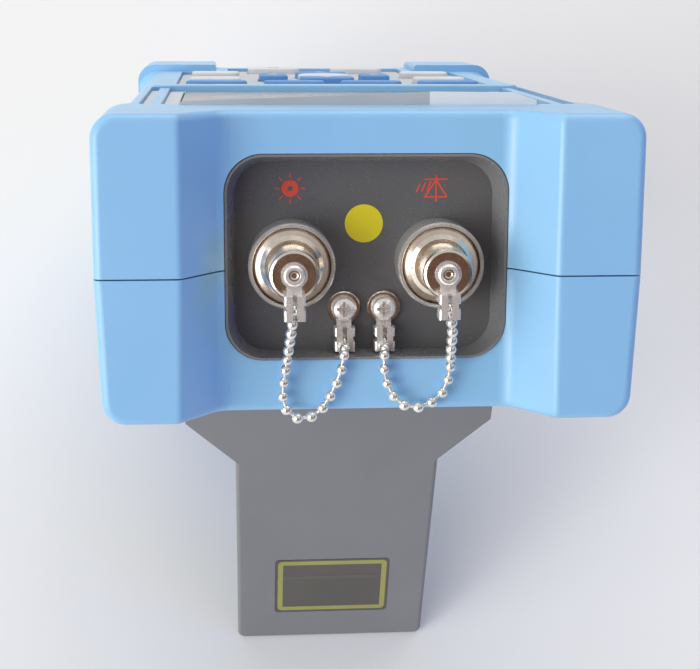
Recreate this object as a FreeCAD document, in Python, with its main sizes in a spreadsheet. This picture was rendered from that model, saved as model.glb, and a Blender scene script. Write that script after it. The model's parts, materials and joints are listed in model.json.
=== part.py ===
import FreeCAD, Part
import math
import os
import Sketcher
from FreeCAD import Placement, Rotation, Vector

# Optical time domain reflectometer: a hand-held fibre tester that leans on its kickstand.
# Every sub-part is drawn in the instrument's own frame: X to the right as the screen is read,
# Y along the case towards the connector end (0 at the end bumpers), Z out of the screen
# (0 at the parting line of the case). At the end one placement leans the whole instrument
# back on its stand, so that the stand's foot and the case's foot end share the table, Z = 0.

doc = FreeCAD.newDocument("reflectometer")
sheet = doc.addObject("Spreadsheet::Sheet", "Sizes")

DRIVING_SIZES = [
    # case
    ("case_width", 110.0, "over the bumpers"),
    ("case_length", 220.0, "connector end to foot end"),
    ("front_height", 32.5, "parting line to the front face"),
    ("back_depth", 30.1, "parting line to the back face"),
    ("parting_gap", 0.3, "shadow line between the two shells"),
    ("draft_angle", 1.9, "degrees, back shell sides"),
    ("wall", 2.6, "side walls"),
    ("back_wall", 5.6, "back wall, deep enough for the stand's recess"),
    ("face_wall", 2.4, "wall under the display and keypad"),
    ("long_edge_radius", 5.0, "long outer edges of the case"),
    ("end_edge_radius", 1.8, "edges round the end faces"),
    ("cove_radius", 4.0, "cove beside the connector recess"),
    ("ramp_radius", 6.0, "where the sides step out to the bumpers"),
    # bumpers and recesses
    ("bumper_inner", 37.8, "centre to the inner edge of an end bumper"),
    ("bumper_length", 32.0, "along the case, connector end"),
    ("bumper_ramp", 5.0, "length of the step from side to bumper"),
    ("waist_inset", 3.5, "side of the case inside the bumpers"),
    ("recess_half", 29.5, "half the floor of the connector recess"),
    ("recess_depth", 10.4, "end faces to the floor of that recess"),
    ("foot_bumper_inner", 31.0, "centre to the inner edge of a foot bumper"),
    ("foot_bumper_length", 30.0, "along the case, foot end"),
    ("foot_bumper_rise", 2.0, "above the front face"),
    ("foot_recess", 4.0, "foot faces to the wall between them"),
    # front face
    ("band_length", 30.0, "end face to the back of the top band"),
    ("face_drop", 1.7, "front face down to the display's floor"),
    ("floor_half", 46.9, "half width of that floor"),
    ("rail_outer", 44.7, "inner rail, outer edge from the centre"),
    ("rail_inner", 42.3, "inner rail, inner edge from the centre"),
    ("rail_height", 1.5, "inner rail above the floor"),
    ("crossbar_place", 100.5, "end face to the middle of the crossbar"),
    ("crossbar_width", 6.4, "along the case"),
    ("crossbar_edge_radius", 0.45, "top edges"),
    ("crossbar_height", 2.2, "above the display's floor"),
    ("trim_thickness", 0.8, "grey strips between the rails"),
    ("bezel_thickness", 0.6, "grey frame round the display"),
    ("window_width", 77.0, "display window"),
    ("window_length", 58.0, "display window"),
    ("window_ledge", 2.4, "under the window's edge"),
    ("window_thickness", 1.4, "display window"),
    ("lcd_thickness", 3.8, "display module"),
    ("film_thickness", 0.25, "protective film on the window"),
    ("film_lift", 2.6, "loose corner of the film"),
    ("slip", 0.3, "gap between pieces that are laid together"),
    # keypad
    ("plate_half", 41.0, "half width of the keypad plate"),
    ("plate_length", 82.0, "wide part of the keypad plate"),
    ("plate_tail_half", 27.0, "half width of the plate between the foot bumpers"),
    ("plate_tail_length", 22.0, "plate between the foot bumpers"),
    ("plate_thickness", 2.0, "keypad plate"),
    ("plate_ledge", 1.6, "rim of the case under the keypad plate"),
    ("plate_drop", 0.9, "front face down to the keypad plate"),
    ("key_gap", 0.35, "round each key"),
    ("key_rise", 1.8, "keys above the keypad plate"),
    ("key_flange", 0.8, "flange that holds a key under the plate"),
    ("key_flange_thickness", 1.0, "that flange"),
    ("key_travel", 1.0, "key stroke"),
    ("key_edge_radius", 0.6, "top edge of a key"),
    ("key_corner", 2.2, "corners of a key"),
    ("function_key_width", 16.0, "keys under the display"),
    ("function_key_length", 7.0, "keys under the display"),
    ("function_key_pitch", 20.4, "between their centres"),
    ("function_row", 8.6, "plate's top edge to the row's centre"),
    ("wheel_place", 46.0, "plate's top edge to the centre of the arrow keys"),
    ("enter_radius", 7.5, "round key in the middle"),
    ("arrow_width", 15.0, "across an arrow key"),
    ("arrow_length", 8.0, "along an arrow key"),
    ("arrow_reach", 14.5, "centre of the arrows to each arrow key"),
    ("side_key_width", 14.0, "keys beside the arrows"),
    ("side_key_length", 8.5, "keys beside the arrows"),
    ("side_key_across", 31.0, "centre line to a side key"),
    ("side_key_along", 17.0, "arrow centre to a side key"),
    ("power_key_width", 16.0, "keys between the foot bumpers"),
    ("power_key_across", 13.0, "centre line to a power key"),
    ("mat_thickness", 1.2, "rubber mat"),
    ("dome_radius", 2.8, "rubber domes"),
    ("board_thickness", 1.6, "circuit boards"),
    # connector end
    ("port_frame_half", 29.2, "half width of the port frame"),
    ("port_frame_centre", 2.35, "frame's middle above the parting line"),
    ("port_frame_half_height", 21.45, "half height of the port frame"),
    ("port_frame_radius", 8.0, "corners"),
    ("panel_half", 27.0, "half width of the panel in view"),
    ("panel_half_height", 19.9, "half height of the panel in view"),
    ("panel_centre", 1.6, "panel's middle above the parting line"),
    ("panel_radius", 7.0, "corners in view"),
    ("panel_depth", 17.8, "end faces to the panel"),
    ("panel_thickness", 2.0, "connector panel"),
    ("frame_flange", 2.4, "frame's flange behind the end wall"),
    ("port_across", 15.4, "centre line to a port"),
    ("port_height", 0.7, "ports above the parting line"),
    ("port_wall", 2.4, "end wall of the recess"),
    ("collar_radius", 8.95, "port collar"),
    ("collar_bore", 8.1, "inside the collar"),
    ("collar_length", 8.0, "collar out of the panel"),
    ("barrel_radius", 4.0, "threaded barrel of the adapter"),
    ("barrel_length", 12.7, "barrel out of the panel"),
    ("barrel_bore", 2.9, "inside the barrel"),
    ("adapter_flange_radius", 6.5, "adapter's flange behind the panel"),
    ("ferrule_radius", 1.25, "bore for the fibre's ferrule"),
    ("sleeve_length", 9.0, "ceramic sleeve"),
    ("sleeve_radius", 1.65, "ceramic sleeve"),
    ("key_slot_depth", 2.0, "slot for the connector's key"),
    # dust caps
    ("cap_radius", 5.1, "boss of the cap"),
    ("cap_brim_radius", 7.85, "brim of the cap"),
    ("cap_brim_thickness", 2.0, "brim"),
    ("cap_face", 0.2, "cap's end in front of the end faces"),
    ("cap_seat", 5.4, "panel to the underside of the cap"),
    ("cap_end_wall", 4.2, "cap's closed end"),
    ("thread_gap", 0.08, "between the cap and the barrel"),
    ("cap_edge", 0.7, "chamfer round the cap's end"),
    ("gasket_thickness", 0.8, "rubber disc in the cap"),
    ("rivet_radius", 1.5, "tubular rivet"),
    ("rivet_bore", 1.15, "its hole"),
    ("rivet_head_radius", 2.1, "its rolled head"),
    ("clasp_ring_radius", 2.65, "ring of a chain clasp"),
    ("clasp_sheet", 0.4, "sheet of a clasp"),
    ("clasp_width", 4.3, "over the folded sides"),
    ("clasp_reach", 8.7, "ring's centre to the clasp's end"),
    ("clasp_box_length", 5.0, "channel round the last ball"),
    ("clasp_depth", 3.4, "channel, off the cap"),
    ("turn_gap", 0.05, "running clearance"),
    ("bead_radius", 1.15, "ball chain"),
    ("bead_pitch", 3.1, "between balls"),
    ("link_radius", 0.35, "links between the balls"),
    # chain anchors
    ("anchor_across", 4.2, "centre line to an anchor screw"),
    ("anchor_height", -9.2, "anchor screws, from the parting line"),
    ("anchor_post_radius", 3.5, "brass post"),
    ("anchor_post_height", 1.1, "post above the panel"),
    ("anchor_head_radius", 2.57, "screw head"),
    ("anchor_head_height", 1.7, "screw head"),
    ("anchor_shank_radius", 1.25, "screw shank"),
    ("anchor_shank_length", 7.0, "screw shank"),
    # stand
    ("hinge_place", 76.0, "end faces to the hinge"),
    ("hinge_depth", 27.4, "parting line to the hinge"),
    ("hinge_pin_radius", 1.25, "hinge pin"),
    ("hinge_pin_length", 20.0, "hinge pin"),
    ("hinge_pin_reach", 42.6, "centre line to a pin's outer end"),
    ("hinge_bevel", 2.1, "bevel by the hinge, clear of the plate's edge"),
    ("knuckle_radius", 2.4, "stand's knuckles"),
    ("knuckle_length", 9.0, "stand's knuckles"),
    ("knuckle_inner", 28.0, "centre line to a knuckle"),
    ("stand_length", 108.5, "hinge to foot"),
    ("stand_half", 39.6, "half width at the hinge"),
    ("stand_wide_length", 26.6, "hinge to the end of the wide part"),
    ("stand_slant_end", 40.1, "hinge to the end of the slant"),
    ("stand_leg_half", 26.8, "half width of the leg"),
    ("stand_foot_half", 26.4, "half width of the foot"),
    ("stand_thickness", 2.4, "plate"),
    ("stand_corner", 2.0, "foot corners"),
    ("stand_foot_radius", 1.1, "rounded end of the foot"),
    ("rib_gap", 3.0, "middle rib on the stand's inner face"),
    ("stand_clearance", 0.4, "round the folded stand"),
    ("stand_open_angle", 64.3, "degrees from folded to open"),
    ("recess_for_stand", 2.9, "depth of the recess in the back"),
    ("label_width", 31.6, "label on the stand"),
    ("label_length", 20.7, "label on the stand"),
    ("label_from_foot", 10.6, "foot to the label"),
    ("label_thickness", 0.2, "label"),
    # battery
    ("door_width", 50.0, "battery door"),
    ("door_length", 76.0, "battery door"),
    ("door_thickness", 1.8, "battery door"),
    ("door_place", 143.0, "end faces to the middle of the door"),
    ("door_screw_along", 35.8, "door's middle to a door screw"),
    ("door_screw_radius", 1.0, "door screws"),
    ("door_screw_head_radius", 1.9, "door screws"),
    ("door_screw_length", 5.0, "door screws"),
    ("bay_wall", 1.6, "walls of the battery bay"),
    ("battery_width", 37.4, "pack of two cells"),
    ("battery_length", 66.0, "pack of two cells"),
    ("battery_height", 18.6, "pack of two cells"),
    # screws and inside
    ("screw_across", 45.2, "centre line to a case screw"),
    ("screw_boss_radius", 3.4, "bosses inside the case"),
    ("screw_head_radius", 2.8, "case screw head"),
    ("screw_head_height", 2.0, "case screw head"),
    ("screw_radius", 1.5, "case screw"),
    ("screw_reach", 9.0, "screw into the front shell"),
    ("screw_seat", 8.0, "parting line to the head's seat"),
    ("module_width", 62.0, "optical module"),
    ("module_length", 50.0, "optical module"),
    ("module_height", 15.0, "optical module"),
    # side sockets
    ("side_place", 128.0, "end faces to the middle of the side cover"),
    ("side_cover_length", 34.0, "along the case"),
    ("side_cover_height", 13.0, "across the case"),
    ("side_cover_top", 3.0, "parting line to the cover's top edge"),
    ("side_cover_thickness", 1.8, "rubber"),
    ("jack_across", 8.0, "cover's middle to the power jack"),
    ("jack_size", 10.0, "power jack's body"),
    ("jack_bore", 2.75, "power jack's hole"),
    ("jack_depth", 9.5, "power jack's hole"),
    ("usb_width", 8.0, "data socket"),
    ("usb_height", 4.0, "data socket"),
    ("usb_length", 7.5, "data socket"),
    ("port_board_width", 14.0, "board under the sockets"),
    ("side_liner", 3.0, "thicker wall round the sockets"),
    ("side_recess", 2.1, "recess for the side cover"),
]


class Size:
    """A length that carries its value and the sheet formula that it comes from."""

    def __init__(self, value, formula):
        self.value = value
        self.formula = formula

    def __add__(self, other):
        other = as_size(other)
        return Size(self.value + other.value, f"({self.formula} + {other.formula})")

    def __sub__(self, other):
        other = as_size(other)
        return Size(self.value - other.value, f"({self.formula} - {other.formula})")

    def __rsub__(self, other):
        return as_size(other) - self

    def __radd__(self, other):
        return as_size(other) + self

    def __mul__(self, number):
        return Size(self.value * number, f"({self.formula} * {number})")

    def __neg__(self):
        return Size(-self.value, f"(0 - {self.formula})")


def as_size(length):
    return length if isinstance(length, Size) else Size(float(length), str(float(length)))


class Sizes:
    """The sheet's driving sizes, each under its alias."""

    def __init__(self, rows):
        for number, (alias, value, note) in enumerate(rows, start=1):
            sheet.set(f"A{number}", note)
            sheet.set(f"B{number}", str(value))
            sheet.setAlias(f"B{number}", alias)
            setattr(self, alias, Size(value, f"Sizes.{alias}"))


S = Sizes(DRIVING_SIZES)
doc.recompute()

# ---------------------------------------------------------------- levels and lines of the case
ZERO = as_size(0)
HALF_WIDTH = S.case_width * 0.5
HALF_GAP = S.parting_gap * 0.5
WAIST = HALF_WIDTH - S.waist_inset
DISPLAY_FLOOR = S.front_height - S.face_drop
INNER_CEILING = DISPLAY_FLOOR - S.face_wall
CAVITY_FLOOR = S.back_wall - S.back_depth
RECESS_FLOOR = S.recess_for_stand - S.back_depth
PLATE_TOP = S.front_height - S.plate_drop
PLATE_BOTTOM = PLATE_TOP - S.plate_thickness
PLATE_EDGE = S.crossbar_place + S.crossbar_width * 0.5 + S.slip * 2
LCD_BOTTOM = INNER_CEILING - S.slip - S.lcd_thickness
BOARD_TOP = LCD_BOTTOM - S.slip
CAVITY_END = S.recess_depth + S.port_wall
WINDOW_PLACE = S.crossbar_place * 0.5 + (S.band_length - S.crossbar_width * 0.5) * 0.5
SCREW_PLACES = [S.bumper_length - 4.0, S.hinge_place + 16.0, S.case_length - 14.0]
PLATE_INSET = S.hinge_depth - S.back_depth + 0.2
SIDE_FLOOR = WAIST - S.side_recess
LINER_INSIDE = WAIST - S.wall - S.side_liner
SOCKET_MOUTH = SIDE_FLOOR - 0.1
SOCKET_NOSE = SOCKET_MOUTH - LINER_INSIDE + S.slip
SOCKET_HEIGHT = -S.side_cover_top - S.side_cover_height * 0.5

LEFT_AND_RIGHT = (-1, 1)
placed = {}


# ---------------------------------------------------------------- drawing helpers
def bind(feature, prop, length):
    """Give a property its value and tie it to the sheet."""
    setattr(feature, prop, length.value)
    feature.setExpression(prop, length.formula)


def new_body(label):
    body = doc.addObject("PartDesign::Body", label)
    body.Label = label
    return body


def put(obj, x=0, y=0, z=0, turn=None):
    """Note where a sub-part stands in the instrument's frame."""
    corner = [as_size(value).value for value in (x, y, z)]
    placed[obj] = Placement(Vector(*corner), turn or Rotation())
    return obj


def new_sketch(body, role, offset=ZERO):
    offset = as_size(offset)
    sketch = body.newObject("Sketcher::SketchObject", "Sketch")
    plane = next(item for item in body.Origin.OriginFeatures if item.Role == role)
    sketch.AttachmentSupport = [(plane, "")]
    sketch.MapMode = "FlatFace"
    sketch.AttachmentOffset = Placement(Vector(0, 0, offset.value), Rotation())
    sketch.setExpression("AttachmentOffset.Base.z", offset.formula)
    return sketch


def hold(sketch, geometry, point, x, y):
    """Fix one point of the sketch at x, y from the sketch's origin."""
    for kind, axis, distance in (("DistanceX", -2, x), ("DistanceY", -1, y)):
        if abs(distance.value) < 1e-9:
            sketch.addConstraint(Sketcher.Constraint("PointOnObject", geometry, point, axis))
            continue
        rule = Sketcher.Constraint(kind, -1, 1, geometry, point, distance.value)
        sketch.setExpression(f"Constraints[{sketch.addConstraint(rule)}]", distance.formula)


def hold_radius(sketch, geometry, radius):
    rule = Sketcher.Constraint("Radius", geometry, radius.value)
    sketch.setExpression(f"Constraints[{sketch.addConstraint(rule)}]", radius.formula)


def polygon(sketch, corners):
    """A closed outline of straight lines, each corner held by its own two sizes."""
    points = [(as_size(x), as_size(y)) for x, y in corners]
    following = points[1:] + points[:1]
    lines = []
    for (x1, y1), (x2, y2) in zip(points, following):
        line = Part.LineSegment(Vector(x1.value, y1.value, 0), Vector(x2.value, y2.value, 0))
        lines.append(sketch.addGeometry(line))
    for line, after in zip(lines, lines[1:] + lines[:1]):
        sketch.addConstraint(Sketcher.Constraint("Coincident", line, 2, after, 1))
    for line, (x, y) in zip(lines, points):
        hold(sketch, line, 1, x, y)
    return sketch


def rectangle(sketch, left, right, low, high):
    return polygon(sketch, [(left, low), (right, low), (right, high), (left, high)])


def rounded_rectangle(sketch, left, right, low, high, radius):
    """Four lines and four arcs, held at the lines' ends."""
    left, right, low, high = (as_size(value) for value in (left, right, low, high))
    ends = [
        (left + radius, low), (right - radius, low), (right, low + radius), (right, high - radius),
        (right - radius, high), (left + radius, high), (left, high - radius), (left, low + radius),
    ]
    centres = [
        (right - radius, low + radius), (right - radius, high - radius),
        (left + radius, high - radius), (left + radius, low + radius),
    ]
    lines = []
    for (x1, y1), (x2, y2) in zip(ends[0::2], ends[1::2]):
        line = Part.LineSegment(Vector(x1.value, y1.value, 0), Vector(x2.value, y2.value, 0))
        lines.append(sketch.addGeometry(line))
        hold(sketch, lines[-1], 1, x1, y1)
        hold(sketch, lines[-1], 2, x2, y2)
    for corner, (x, y) in enumerate(centres):
        start = math.radians(90 * (corner - 1))
        circle = Part.Circle(Vector(x.value, y.value, 0), Vector(0, 0, 1), radius.value)
        arc = sketch.addGeometry(Part.ArcOfCircle(circle, start, start + math.pi / 2))
        after = lines[(corner + 1) % 4]
        sketch.addConstraint(Sketcher.Constraint("Coincident", arc, 1, lines[corner], 2))
        sketch.addConstraint(Sketcher.Constraint("Coincident", arc, 2, after, 1))
        hold_radius(sketch, arc, radius)
    return sketch


def circle(sketch, x, y, radius):
    x, y, radius = as_size(x), as_size(y), as_size(radius)
    drawn = sketch.addGeometry(Part.Circle(Vector(x.value, y.value, 0), Vector(0, 0, 1), radius.value))
    hold(sketch, drawn, 3, x, y)
    hold_radius(sketch, drawn, radius)
    return sketch


def pad(body, sketch, length, reverse=False, taper=None):
    feature = body.newObject("PartDesign::Pad", "Pad")
    feature.Profile = sketch
    bind(feature, "Length", as_size(length))
    feature.Reversed = reverse
    if taper:
        bind(feature, "TaperAngle", taper)
    return feature


def pocket(body, sketch, depth, reverse=False):
    feature = body.newObject("PartDesign::Pocket", "Pocket")
    feature.Profile = sketch
    bind(feature, "Length", as_size(depth))
    feature.Reversed = reverse
    return feature


def revolve(body, sketch):
    """Turn a profile round the sketch's own upright axis."""
    feature = body.newObject("PartDesign::Revolution", "Revolution")
    feature.Profile = sketch
    feature.ReferenceAxis = (sketch, ["V_Axis"])
    feature.Angle = 360
    return feature


def fillet(body, feature, wanted, radius, kind="Fillet"):
    """Round or chamfer the edges of the last feature that pass the test."""
    doc.recompute()
    names = [f"Edge{n}" for n, edge in enumerate(feature.Shape.Edges, start=1) if wanted(edge)]
    if not names:
        raise ValueError(f"{body.Label}: no edge to round")
    rounding = body.newObject(f"PartDesign::{kind}", kind)
    rounding.Base = (feature, names)
    bind(rounding, "Radius" if kind == "Fillet" else "Size", as_size(radius))
    return rounding


def spans(edge, axis):
    """How far an edge runs along one axis."""
    box = edge.BoundBox
    return {"x": box.XLength, "y": box.YLength, "z": box.ZLength}[axis]


def lies_at(edge, axis, level, within=0.02):
    """True where the whole edge lies in the plane axis = level."""
    box = edge.BoundBox
    low = {"x": box.XMin, "y": box.YMin, "z": box.ZMin}[axis]
    high = {"x": box.XMax, "y": box.YMax, "z": box.ZMax}[axis]
    return abs(low - level) < within and abs(high - level) < within


# ---------------------------------------------------------------- the two shells
def housing_outline():
    """The case seen from the screen side: bumpers at four corners, a waist, a recess at each end."""
    foot = -S.case_length
    right = [
        (S.recess_half, -S.recess_depth),
        (S.bumper_inner, ZERO),
        (HALF_WIDTH, ZERO),
        (HALF_WIDTH, -S.bumper_length),
        (WAIST, -S.bumper_length - S.bumper_ramp),
        (WAIST, foot + S.foot_bumper_length + S.bumper_ramp),
        (HALF_WIDTH, foot + S.foot_bumper_length),
        (HALF_WIDTH, foot),
        (S.foot_bumper_inner, foot),
        (S.foot_bumper_inner - S.foot_recess, foot + S.foot_recess),
    ]
    left = [(-x, y) for x, y in reversed(right)]
    return right + left


def upright_edge_at(edge, x, y, within=1.2):
    """True for an edge that runs up through the shell at x, y, on either side of the case."""
    middle = edge.CenterOfMass
    near = abs(abs(middle.x) - x.value) < within and abs(middle.y - y.value) < within
    return near and spans(edge, "z") > 10


def rounded_case(body, block, face_level):
    """Round a shell's coves, steps and long outer edges."""
    outline = housing_outline()
    coves = [outline[0], outline[9]]
    steps = outline[3:7]
    block = fillet(body, block, lambda e: any(upright_edge_at(e, x, y) for x, y in coves), S.cove_radius)
    block = fillet(body, block, lambda e: any(upright_edge_at(e, x, y) for x, y in steps), S.ramp_radius)
    outer = WAIST.value - 1.6

    def long_outer(edge):
        box = edge.BoundBox
        outside = box.XMin > outer or box.XMax < -outer
        return outside and lies_at(edge, "z", face_level.value) and box.YLength > 1

    return fillet(body, block, long_outer, S.long_edge_radius)


def end_edges(edge, face_level):
    """The rims of the end faces and of the recess between the bumpers, without the parting line."""
    box = edge.BoundBox
    if abs(box.ZMin) < 1 and abs(box.ZMax) < 1:
        return False
    lean_in = math.tan(math.radians(S.draft_angle.value)) * S.back_depth.value + 0.1
    at_end = box.YMin > -lean_in or box.YMax < lean_in - S.case_length.value
    recess_rim = lies_at(edge, "z", face_level.value) and box.YMin > -S.recess_depth.value - lean_in
    return at_end or recess_rim


def port_window(body):
    """The opening in the recess floor that holds the port frame."""
    window = new_sketch(body, "XZ_Plane")
    rounded_rectangle(window, -S.port_frame_half, S.port_frame_half,
                      S.port_frame_centre - S.port_frame_half_height,
                      S.port_frame_centre + S.port_frame_half_height, S.port_frame_radius)
    return pocket(body, window, CAVITY_END + 1, reverse=True)


def case_screw_places():
    return [(side * S.screw_across.value, -place.value)
            for side in LEFT_AND_RIGHT for place in SCREW_PLACES]


def screw_circles(body, radius, offset):
    """One circle at each case screw."""
    drawn = new_sketch(body, "XY_Plane", offset)
    for place in SCREW_PLACES:
        circle(drawn, S.screw_across, -place, radius)
        circle(drawn, -S.screw_across, -place, radius)
    return drawn


def cavity(body, offset, depth, reverse):
    """Hollow a shell between its walls."""
    inside = new_sketch(body, "XY_Plane", offset)
    half = WAIST - S.wall
    rectangle(inside, -half, half, S.foot_recess + S.wall - S.case_length, -CAVITY_END)
    return pocket(body, inside, depth, reverse)


def plate_outline(grow):
    """The keypad plate: wide above, narrower where it runs between the foot bumpers."""
    half = S.plate_half + grow
    tail = S.plate_tail_half + grow
    top = grow - PLATE_EDGE
    shoulder = -PLATE_EDGE - S.plate_length - grow
    return [(-half, top), (half, top), (half, shoulder), (tail, shoulder),
            (tail, shoulder - S.plate_tail_length), (-tail, shoulder - S.plate_tail_length),
            (-tail, shoulder), (-half, shoulder)]


def make_front_shell():
    """Upper half of the case: top band, display floor with rails, keypad opening, foot bumpers."""
    body = new_body("front_shell")
    foot = -S.case_length
    block = pad(body, polygon(new_sketch(body, "XY_Plane", HALF_GAP), housing_outline()),
                S.front_height - HALF_GAP)
    block = rounded_case(body, block, S.front_height)

    bumpers = new_sketch(body, "XY_Plane", S.front_height - S.long_edge_radius - 1.5)
    for near, far in ((S.foot_bumper_inner, HALF_WIDTH), (-HALF_WIDTH, -S.foot_bumper_inner)):
        rectangle(bumpers, near, far, foot, foot + S.foot_bumper_length)
    block = pad(body, bumpers, S.long_edge_radius + 1.5 + S.foot_bumper_rise)
    bumper_top = (S.front_height + S.foot_bumper_rise).value
    block = fillet(body, block, lambda e: lies_at(e, "z", bumper_top) and spans(e, "y") > 5
                   and abs(e.CenterOfMass.x) > HALF_WIDTH.value - 1, S.long_edge_radius)
    block = fillet(body, block, lambda e: end_edges(e, S.front_height) and e.BoundBox.YMin > -20,
                   S.end_edge_radius)
    block = fillet(body, block, lambda e: lies_at(e, "y", foot.value) and e.BoundBox.ZMax > 10
                   and (abs(e.CenterOfMass.x) > 45 or e.BoundBox.ZMin > bumper_top - 0.1),
                   S.end_edge_radius)
    block = fillet(body, block, lambda e: lies_at(e, "z", bumper_top) and spans(e, "y") > 5
                   and abs(e.CenterOfMass.x) < S.foot_bumper_inner.value + 1, S.end_edge_radius * 0.5)

    floor = new_sketch(body, "XY_Plane", S.front_height)
    crossbar_near = S.crossbar_width * 0.5 - S.crossbar_place
    rounded_rectangle(floor, -S.floor_half, S.floor_half, crossbar_near, -S.band_length, S.rail_height)
    block = pocket(body, floor, S.face_drop)

    rails = new_sketch(body, "XY_Plane", DISPLAY_FLOOR)
    for near, far in ((S.rail_inner, S.rail_outer), (-S.rail_outer, -S.rail_inner)):
        rectangle(rails, near, far, crossbar_near, -S.band_length)
    block = pad(body, rails, S.rail_height)

    crossbar = new_sketch(body, "XY_Plane", DISPLAY_FLOOR)
    rounded_rectangle(crossbar, -S.floor_half, S.floor_half, crossbar_near - S.crossbar_width,
                      crossbar_near, S.crossbar_width * 0.45)
    block = pad(body, crossbar, S.crossbar_height)
    bar_top = (DISPLAY_FLOOR + S.crossbar_height).value
    block = fillet(body, block, lambda e: lies_at(e, "z", bar_top), S.crossbar_edge_radius)

    seat = new_sketch(body, "XY_Plane", S.front_height)
    polygon(seat, plate_outline(S.slip))
    pocket(body, seat, S.plate_drop + S.plate_thickness)
    opening = new_sketch(body, "XY_Plane", S.front_height)
    polygon(opening, plate_outline(-S.plate_ledge))
    pocket(body, opening, S.front_height - INNER_CEILING)

    half_width = S.window_width * 0.5
    half_length = S.window_length * 0.5
    seat_depth = S.window_thickness - S.bezel_thickness + 0.2
    for grow, depth in ((S.slip, seat_depth), (-S.window_ledge, S.face_wall)):
        view = new_sketch(body, "XY_Plane", DISPLAY_FLOOR)
        rectangle(view, -half_width - grow, half_width + grow,
                  -WINDOW_PLACE - half_length - grow, half_length + grow - WINDOW_PLACE)
        pocket(body, view, depth)

    cavity(body, HALF_GAP, INNER_CEILING - HALF_GAP, reverse=True)
    port_window(body)
    pad(body, screw_circles(body, S.screw_boss_radius, HALF_GAP), INNER_CEILING - HALF_GAP + 0.2)
    pocket(body, screw_circles(body, S.screw_radius + S.turn_gap, HALF_GAP),
           S.screw_reach + 2, reverse=True)
    return put(body)


def stand_outline(grow, top):
    """The stand seen flat: wide at the hinge, slanting in to a leg; top is measured from the hinge."""
    wide_end = -S.stand_wide_length - grow
    slant_end = -S.stand_slant_end - grow
    foot = -S.stand_length - grow
    return [(-S.stand_half - grow, top), (S.stand_half + grow, top), (S.stand_half + grow, wide_end),
            (S.stand_leg_half + grow, slant_end), (S.stand_foot_half + grow, foot),
            (-S.stand_foot_half - grow, foot), (-S.stand_leg_half - grow, slant_end),
            (-S.stand_half - grow, wide_end)]


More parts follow.
